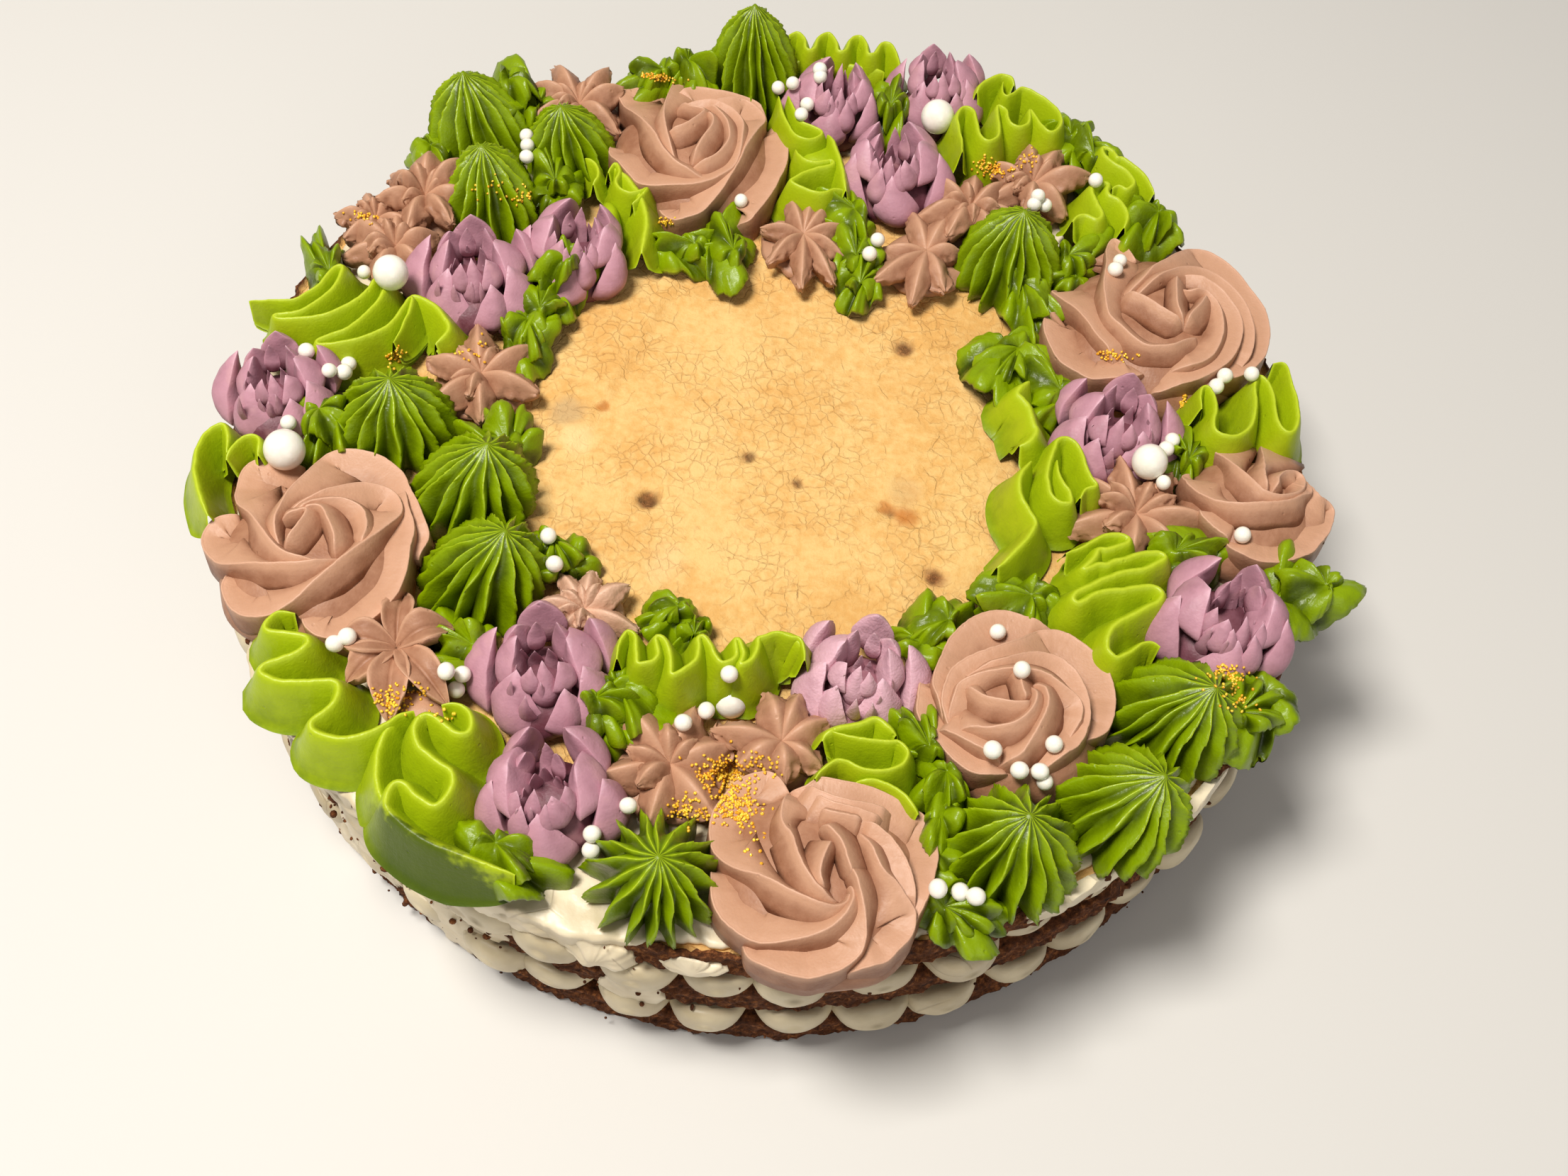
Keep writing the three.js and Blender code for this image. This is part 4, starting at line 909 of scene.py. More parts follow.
# Roses: node, middle, radius, height, ragged edge, and the paths of their lips as seen.
ROSES = [
    ("rose_left", (-97, -49), 22.5, 17, 0.06, [
        [(-115, -40.5), (-119, -43.5), (-121, -48), (-119.5, -52), (-116.5, -54.3), (-113.5, -55),
         (-107, -54), (-100.7, -53.2), (-94.5, -52), (-91, -50.5), (-88.5, -49)],
        [(-113.5, -56), (-113.3, -60), (-111, -64), (-107.5, -66.8), (-103.5, -67), (-100.3, -65.8),
         (-98, -63.5), (-95.7, -61), (-93, -56.8), (-90.4, -53.4), (-88.3, -50), (-84.5, -45.2),
         (-81, -40.5), (-79.8, -36.5), (-83, -31.9), (-89, -30.7), (-96, -33.5), (-101, -37.5),
         (-103.5, -41.3)],
        [(-95, -64.5), (-93, -68), (-89, -70.3), (-84, -68.5), (-79.5, -63.5), (-76.5, -58),
         (-75.6, -52), (-76, -46), (-76.3, -41), (-79, -35), (-81.5, -29.5), (-83, -26)],
        [(-74.5, -47), (-73.5, -42), (-76, -36.5), (-79.5, -31), (-82.5, -26.5), (-87, -23.2),
         (-92, -22), (-97, -22.3), (-100.3, -24.5), (-102, -29), (-104, -35), (-104.6, -41),
         (-103.5, -45.5), (-101.3, -49.5)],
        [(-105, -26), (-110, -27), (-115, -27.5), (-117.3, -31), (-117, -36), (-115.2, -39.5),
         (-111, -41.5), (-106.8, -45), (-103.7, -48), (-101, -50), (-97.5, -51), (-93, -51.2),
         (-90.5, -50)],
        [(-103.7, -41.6), (-101, -40), (-98.3, -39), (-98.5, -42), (-99.8, -45.5), (-101, -48.5)],
        [(-100, -39.8), (-97.7, -38), (-95.8, -37.8), (-94.4, -39), (-92.5, -42), (-90.8, -45.5),
         (-90.2, -49)],
        [(-101.5, -40.5), (-97.7, -36.8), (-93, -35.5), (-89.7, -36), (-86.8, -37.8), (-85.5, -41),
         (-85.3, -44.6), (-86.6, -47.6)]]),
    ("rose_back", (-29, 85), 23, 17, 0.05, [
        [(-39.9, 106.4), (-45.3, 105.5), (-49.8, 105.7), (-51.7, 101.8), (-49.8, 97.3), (-46, 93.5),
         (-42.4, 89.8), (-39.5, 85.7), (-36.6, 80.7), (-32.9, 76.6), (-27.9, 74.1), (-22.9, 73.3)],
        [(-51.5, 84.5), (-51, 80), (-48, 76), (-44.8, 72), (-42, 69.2), (-38.2, 68.7), (-32.8, 69.4),
         (-27.9, 70.2), (-24.6, 71.6), (-22.1, 73.3), (-18.8, 77), (-17.5, 81.1), (-17.3, 86.9),
         (-17.5, 93.1), (-19.6, 96.8), (-22.9, 99.3), (-27, 101), (-31.2, 100.6), (-34.9, 99.3)],
        [(-36, 64), (-34.5, 61), (-31.2, 59.2), (-27.5, 60.5), (-24.2, 63), (-20.9, 69.1),
         (-18.8, 74.9), (-17.1, 80.3), (-15.9, 85.7), (-13.8, 91.9), (-12.2, 96.4), (-14.2, 100.1),
         (-17.5, 103), (-21.3, 103.5), (-25.4, 102.6), (-29.1, 101.4)],
        [(-16, 62), (-12.6, 62.5), (-9.3, 69.1), (-6.8, 75.8), (-5.4, 82.8), (-5.8, 90.2), (-7.6, 95.2),
         (-10.5, 98)],
        [(-12, 100), (-15, 103.5), (-18.8, 104.9), (-23.8, 105.7), (-29.1, 106.3), (-33.7, 105.5),
         (-37, 103)],
        [(-27.5, 106.8), (-28.7, 112.6), (-30.4, 115.6), (-33.3, 116.1), (-36.2, 113.8), (-37.8, 110.1),
         (-38.1, 103.5), (-38.4, 96.8), (-37.8, 91.5), (-36.2, 85.7), (-34.1, 80.3), (-32.4, 77.4)],
        [(-35.3, 98.9), (-31.6, 96.8), (-27.9, 96), (-29.5, 92.7), (-32.9, 89), (-37, 87.1)],
        [(-29.5, 98.5), (-26.2, 98.1), (-23.3, 95.2), (-21.3, 91.5), (-20.4, 87.3), (-21.7, 82.8),
         (-24.6, 79.1), (-29.1, 76.6)],
        [(-27.9, 96.4), (-25.4, 93.5), (-25.4, 90.2), (-27.1, 84.9), (-29.1, 78.7)]]),
    ("rose_back_right", (91, 42), 25, 17, 0.05, [
        [(101, 24.5), (105, 25.6), (109.6, 27.4), (113.7, 30.7), (116.6, 36), (117.7, 43.1),
         (117, 49.7), (114.1, 55.5), (110, 62.1), (105, 66.4), (99.7, 67.2), (96, 65), (92.6, 62.1),
         (88.9, 58.8), (85.2, 54.2), (81.5, 49.7)],
        [(88, 21), (90.6, 20.8), (96.5, 23), (101.3, 26.1), (106.7, 31.5), (109.6, 38.9), (109.4, 45.1),
         (107.1, 50.1), (103.8, 54.2), (100.1, 56.5), (96.4, 57.3), (93.9, 56.9)],
        [(108, 28), (112, 34), (113, 41), (112, 48), (109, 54), (105, 58), (100, 59.6), (96, 59),
         (92, 57), (88, 54), (84, 50)],
        [(66, 50.5), (64.1, 48.3), (66, 45.6), (68.3, 43.5), (71.2, 39.8), (74, 34.8), (76.5, 31.5),
         (78.6, 27.4)],
        [(65.4, 43.5), (62.5, 39.8), (62.1, 36), (63.7, 30.3), (66.2, 25.7), (70.3, 22.8), (73.6, 21.4),
         (78.6, 22), (83.1, 23.2), (86, 26)],
        [(85.2, 62.5), (83.1, 65.4), (79.8, 67.9), (77.8, 63.7), (76.9, 57.5), (75.9, 51.3),
         (76.1, 46.4), (76.9, 41), (79.4, 37.7), (82.3, 34.4), (85.6, 32.3), (88.9, 32.5), (92.2, 33.4),
         (95.1, 36), (98.4, 38.5)],
        [(80.7, 49.3), (84.8, 47.2), (88.9, 44.3), (94.7, 40.4)],
        [(93.9, 56.7), (93.1, 52.6), (92.6, 47.2), (93.5, 43.5), (95.1, 40.6)],
        [(101.3, 50.9), (98.8, 46.8), (96.4, 43.5), (95.1, 40.6)],
        [(94.3, 53), (96.5, 51.6), (99.3, 51.8), (101.5, 51), (103.8, 47.2), (104.6, 41), (103.8, 35.6),
         (101.3, 31.1), (97.2, 28.2), (92.2, 27.4)]]),
    ("rose_inner_right", (57, -71), 19.5, 17, 0.08, [
        [(71.1, -73.8), (75, -73), (76.8, -70.5), (77.5, -64.8), (76.6, -59.4), (73.4, -54.6),
         (69.5, -51.4), (66, -50.1), (62.2, -50.4), (59, -51.7), (55.8, -53.3), (51.9, -55.2),
         (48.1, -57.1), (44.9, -59.4), (42.6, -61.9), (41, -65.8), (40.7, -69), (41.7, -72.8),
         (43.6, -75.7)],
        [(66, -49.8), (61.2, -47.8), (58.3, -47.2), (54.5, -46.3), (50, -47.2), (45.8, -49.8),
         (42.6, -53.9), (40.7, -58.4), (39.1, -63.2), (38.8, -66.4), (40.1, -69.6), (41.5, -73)],
        [(38.5, -63), (36.2, -66), (35.9, -70), (36.2, -74), (38.2, -77.5), (41, -80.5), (44, -83.5),
         (48, -85.5), (52, -85), (55, -83.5)],
        [(52.6, -82.1), (56.4, -80.2), (58.3, -77.3), (60.2, -72.8), (61.8, -68), (61.8, -64.8),
         (60.6, -62.9), (59, -62.2)],
        [(66.3, -75), (68.9, -71.2), (69.5, -67.7), (68.6, -65.4), (66, -63.2), (62.8, -61),
         (59.9, -60), (56, -59.8), (53.2, -60.2), (50, -61.4), (46.8, -62.9), (44.2, -64.8),
         (43.3, -67), (42.3, -71.2), (42.6, -73.8)],
        [(61, -82.5), (66, -78.8), (69.2, -76), (71.1, -71.5), (71.4, -67.7), (70.5, -63.2),
         (68.6, -59.4), (65.4, -56.8), (61.8, -55.7), (58, -56), (53.8, -57.8), (50, -59.4), (45, -62.6)],
        [(44.9, -64.8), (47.4, -66.4), (50, -67.5), (53.8, -67.8), (57, -67.5), (59.3, -66.4)],
        [(54.8, -60), (56.1, -61.9), (57, -65.1), (57.7, -66.7)],
        [(43.3, -76), (47.4, -74.7), (50.6, -74.4), (54.5, -72.8), (57, -70.9), (59, -68),
         (59.6, -65.1), (58.6, -62.6)],
        [(40, -76), (43.3, -77), (46.8, -78.6), (50, -80), (53.5, -82)]]),
    ("rose_front", (19, -111), 22.5, 17, 0.07, [
        [(11, -93.3), (8.4, -91), (5.3, -90.7), (1, -92.7), (-2.3, -97.3), (-4, -101), (-4.2, -104.7),
         (-3, -108.3), (0.3, -110.8), (5.3, -111.4), (9.3, -112.3), (13.7, -114), (18, -115.3),
         (21.3, -115.6), (23.6, -114.4), (24.5, -111.5)],
        [(-3, -111.7), (-2.7, -115), (-2, -118.7), (0, -122), (3.3, -124.3), (7, -125.7),
         (10.7, -125.3), (15.3, -123.7), (20, -121.3), (23, -118.3), (24.5, -115.3), (24.9, -112.3),
         (24, -110)],
        [(4.8, -126), (6.3, -129), (10.7, -131), (16.7, -132), (20.3, -131), (24.3, -129), (27, -126),
         (27.8, -122.7), (27.6, -118.7), (27, -115), (25.7, -110.7), (23.7, -106.7), (22, -104)],
        [(25.3, -129), (32, -127.3), (34.7, -124.3), (36.8, -121.3), (37.4, -117.7), (36.7, -115.3),
         (34, -111.3), (30.3, -107.7), (28.7, -104.7), (27.3, -102), (25.3, -99.3)],
        [(36.7, -120), (40, -112), (41.3, -106), (40.7, -100.7), (38.7, -97), (35.7, -95.3),
         (32, -93.3), (27.3, -91.4), (22, -90.6), (17, -90.3), (14, -91.7), (11, -93)],
        [(37.2, -116), (36.7, -111), (35, -106), (32, -101.7), (28.7, -99), (25.3, -97.3)],
        [(10.7, -93), (10, -95.3), (9.7, -98.7), (10.7, -100.7), (12, -102), (13.7, -106),
         (15.7, -109.3), (18, -112), (20.7, -114), (22.3, -114)],
        [(20, -101.7), (18.7, -104.7), (18.2, -107.3), (18.3, -110), (19.5, -112.5)],
        [(13.3, -91.8), (17.3, -93), (22, -94), (27, -94.7), (32, -96)],
        [(15.3, -93.4), (20.3, -95), (25.3, -95.9), (30.3, -97.5)],
        [(17, -96.3), (22, -97), (26, -97.8)],
        [(17.7, -98.7), (20.3, -100.7), (22, -102.7), (23.3, -106), (24.7, -109.3)]]),
    ("rose_right", (111, -11), 17.5, 16, 0.1, [
        [(99.1, 6.3), (103.2, 1.7), (106.4, -2.1), (109.1, -5.6), (111.1, -7.4), (114.3, -8.2),
         (118.2, -7.1), (121.1, -4.7), (122.3, -0.6)],
        [(113.8, 7.6), (112.9, 4.4), (112, 0.3), (111.6, -3.2), (112, -7)],
        [(113, -6.2), (114.3, -4.7), (114.9, -2.7), (117.3, -0.9), (119.9, -0.6), (121.5, -2.1),
         (121.1, -4.4), (119.3, -5.9)],
        [(97, -2), (94.7, -4.1), (95.3, -7.1), (97.6, -9.7), (100.9, -11.3), (104.7, -11.5),
         (109.1, -10.9), (113.5, -10.1), (117.3, -9.1), (120.5, -7.1), (123.1, -5.6), (122.8, -0.3)],
        [(103, -20), (104.5, -23), (108.8, -25.8), (112.9, -26.3), (116.4, -25.5), (122, -22.6),
         (125.2, -18.8), (127.8, -14.4), (129, -10.3), (127.5, -8), (125.2, -6.8), (124, -4),
         (122.8, -1)],
        [(97.2, -13), (97.9, -15.9), (101, -19), (104, -21)]]),
]

# Drop flowers by chance: node, middle x and y, radius, height, turn and number of petals.
STARS = [
    ("blossom_2", -37, -54, 11, 10, 35, 7), ("blossom_3", -14, -89, 14, 12, 15, 6),
    ("blossom_4", -71, 7, 13.5, 11, 45, 6), ("blossom_5", -95, 60, 12.5, 15, 0, 7),
    ("blossom_5", -99, 43, 12, 13, 30, 6), ("blossom_6", -62, 99, 13, 14, 15, 7),
    ("blossom_5", -106, 52, 9, 11, 60, 6), ("blossom_9", 43, 76, 13, 14, 90, 7),
    ("blossom_9", 59, 87, 13, 14, 0, 7), ("blossom_10", 84, -14, 15.5, 12, 0, 7),
]

# Drop flowers as seen: node, height, half width of a petal, fold, middle and tips of petals.
BLOSSOMS = [
    ("blossom_1", 12, 4.0, -0.45, (-74.4, -71.3), [
        (-76, -58), (-63.5, -65), (-61, -83), (-72, -88), (-83, -80.5), (-86.5, -71)]),
    ("blossom_3", 12, 4.2, 1.1, (8.3, -83.5), [
        (4.5, -72.5), (11, -72), (17.8, -77.5), (17, -88.5), (10, -93), (0, -90),
        (-6.5, -82.5)]),
    ("blossom_7", 10, 2.9, 1.3, (1, 59.5), [
        (-4, 71), (2.5, 72), (8, 71.5), (13, 63), (12, 53), (10, 44), (2, 41.5), (-7, 48.5),
        (-10, 60)]),
    ("blossom_8", 11, 3.8, 1.1, (32.5, 58), [
        (27.5, 71.5), (38, 70), (42, 58.5), (37.5, 45), (29.5, 40), (20, 46.5), (20, 56.5)]),
]

# Clusters: node, middle, size, height, mirrored or not, and which rows of buds.
CLUSTERS = [
    ("cluster_1", -116, -7, 0.92, 0.95, 1, 0), ("cluster_2", -78, 33, 1.05, 1.05, 1, 0),
    ("cluster_3", -55, 46, 0.98, 1.05, -1, 1), ("cluster_4", -43, -73, 1.0, 1.08, 1, 0),
    ("cluster_5", -37, -99, 1.0, 1.0, 1, 1), ("cluster_6", 24, -66, 0.9, 0.95, -1, 0),
    ("cluster_7", 102, -42, 1.06, 1.1, -1, 1), ("cluster_8", 80, 6, 1.0, 1.0, -1, 0),
    ("cluster_9", 23, 85, 1.0, 1.08, 1, 1), ("cluster_10", 5, 108, 0.88, 1.1, -1, 1),
    ("cluster_11", 32, 115, 0.85, 1.15, 1, 0),
]

# Two kinds of cluster: rows of buds as seen from the middle, in the order that cluster() gives.
BUDS = [
    [(-2, 17, -7, 4, 7, 15), (9.2, 14, 5.5, 14.5, 3, 15), (-10, 9.8, -14.5, -6, -9, 14),
     (-5.5, 10.8, -8, -1, 4, 16), (-1.5, 12, -3.5, 0.5, 6, 17), (2.5, 12.5, 0.5, 6, 3, 17),
     (-5, 8.2, -7.5, -0.5, -3, 16), (5, 8.8, 2, 11.5, 1, 16), (1, 3.2, -1, 5, -7, 16.5),
     (4.3, 3.3, 2.5, 7.5, -2, 16), (9, 2.8, 5.5, 15, -11, 14), (-1, 1.5, -3.5, 1.5, -4, 16),
     (6, -3, 1.5, 10, -13, 13), (-4.3, 0.2, -9.5, 4, -15, 13.5)],
    [(-5.5, 13.5, -11, -2, 0, 14), (2, 14, 0.5, 12, 3, 15), (-5, 8, -7, -2.5, 2, 16),
     (-8, 5, -9.5, -0.5, -2, 16), (-1.5, 10.8, -2.5, 2.5, -2, 16.5), (1, 8.7, -0.5, 3, 3, 17),
     (5, 6.2, 1.5, 10, -1, 16), (3.8, 2, 1.5, 6, -4, 16), (-11, 1, -12.5, -4, -12.5, 14),
     (-5.5, -0.5, -7.5, -2.5, -6, 15), (-2, 0.5, -4, 1, -8, 16), (1.7, -0.6, -1, 6, -7, 16),
     (-4, -3.5, -7, -1, -12, 14.5), (0.5, -2.7, -1.5, 3.5, -9, 15), (10.5, 4, 6, 14.5, -10, 14),
     (-1, -5.3, -4.5, 8, -17, 13)],
]

# Domes: node, middle x and y, half widths, height, turn in degrees, lean in x and y.
DOMES = [
    ("dome_1", -14, -113, 14.5, 14.5, 17, 0, 1, -1), ("dome_2", 56, -101, 14.5, 14.5, 18, 10, 2, 3),
    ("dome_3", 77, -89, 14.5, 14.5, 17, 5, 8, 3), ("dome_4", 89, -67, 14.5, 14.5, 18, 0, 7, 2),
    ("dome_5", -61, -50, 14, 14, 18, 0, 6, 5), ("dome_6", -67, -28, 14.5, 14, 18, 8, 4, 5),
    ("dome_7", -88, -11, 14.5, 14, 17, 0, 0, 4), ("dome_8", -85, 84, 13.5, 13.5, 19, 0, -5, 8),
    ("dome_9", -78, 60, 12, 13.5, 18, 5, -3, 8), ("dome_10", -61, 82, 12, 12, 17, 0, -3, 4),
    ("dome_11", -17, 114, 12.5, 12.5, 26, 0, -1, 7), ("dome_12", 53, 58, 13.5, 13.5, 19, 0, 2, 6),
]

# Leaves: node beside which they lie, middle x and y, half widths, height and turn in degrees.
LEAVES = [
    ("dome_2", 47, -114, 9, 6, 8, 170), ("dome_4", 107, -62, 10, 8, 10, 35),
    ("dome_5", -62, -66, 9, 6, 9, 150), ("dome_5", -45, -41, 7, 5, 8, 150),
    ("dome_6", -63, -12, 9, 7, 9, 115), ("dome_7", -102, -13, 9, 7, 10, 100),
    ("dome_8", -77, 98, 9, 7, 14, 140), ("dome_8", -96, 73, 8, 5, 10, 120),
    ("dome_10", -64, 71, 10, 6, 11, 105), ("dome_11", -32, 112, 8, 7, 14, 120),
    ("dome_11", -44, 110, 8, 6, 12, 20), ("dome_12", 59, 48, 11, 6, 9, 120),
    ("ruffle_1", -114, 34, 9, 5, 9, 110), ("ruffle_3", -43, -114, 9, 6, 11, 160),
    ("ruffle_4", -24, -77, 10, 7, 10, 130),
    ("ruffle_4", -28, -78.5, 6.5, 5.5, 12, 10), ("ruffle_4", -19, -53.5, 6, 4.5, 8, 20),
    ("ruffle_4", -13, -57, 4, 3.5, 7, 60), ("ruffle_5", 37, -78, 8, 5, 11, 130),
    ("ruffle_5", 42, -89, 8, 5, 11, 100), ("ruffle_5", 42, -98, 8, 5, 10, 80),
    ("ruffle_6", 56, -42, 10, 7, 9, 30), ("ruffle_6", 39, -49, 8, 6, 7, 30),
    ("ruffle_7", 54, 27, 11, 8, 8, 70), ("ruffle_7", 63, 20, 9, 7, 9, 140),
    ("ruffle_8", 96, 5, 8, 5, 9, 95), ("ruffle_9", 89, 75, 8, 8, 12, 90),
    ("ruffle_9", 71, 63, 9, 6, 9, 70), ("ruffle_9", 67, 105, 9, 6, 12, 10),
    ("ruffle_9", 73, 99, 10, 6, 12, 120), ("ruffle_10", 20, 109, 9, 5, 13, 90),
    ("ruffle_11", 11, 69, 10, 6, 9, 125), ("ruffle_11", 14, 59, 10, 5, 8, 95),
    ("ruffle_11", 17, 50, 8, 5, 7, 75), ("ruffle_12", -29, 53, 8, 5, 8, 0),
    ("ruffle_12", -18, 55, 10, 6, 9, 100), ("leaf_inner_left", -60, 30, 9, 6, 9, 70),
    ("leaf_inner_left", -57, 38, 8, 6, 14, 60), ("leaf_inner_left", -62, 20, 9, 6, 8, 100),
    ("leaf_right", 121, -31, 10, 8, 11, 15), ("leaf_inner_right", 95, -24, 10, 6, 11, 15),
]

# How much longer and wider a leaf is piped than its crumpled outline looks.
LEAF_LONG, LEAF_WIDE = 1.1, 1.15

# Smooth bulges of folds as seen: node, middle, half width along and across, height and turn.
BULGES = [
    ("blossom_1", -67, -86, 7, 5, 7.5, -20),
    ("ruffle_12", -48, 57.5, 2.6, 5.5, 9, 20),
    ("ruffle_11", 3, 84, 6.5, 8, 10.5, 0),
]

# How high cream fills a ribbon between its folds, as a share of their height.
FULL = {"ruffle_1": 0.76}

# How much wider the foot of a fold, and of the cream between folds, is than the fold looks.
FOLD_FOOT, FULL_FOOT = 1.45, 1.5

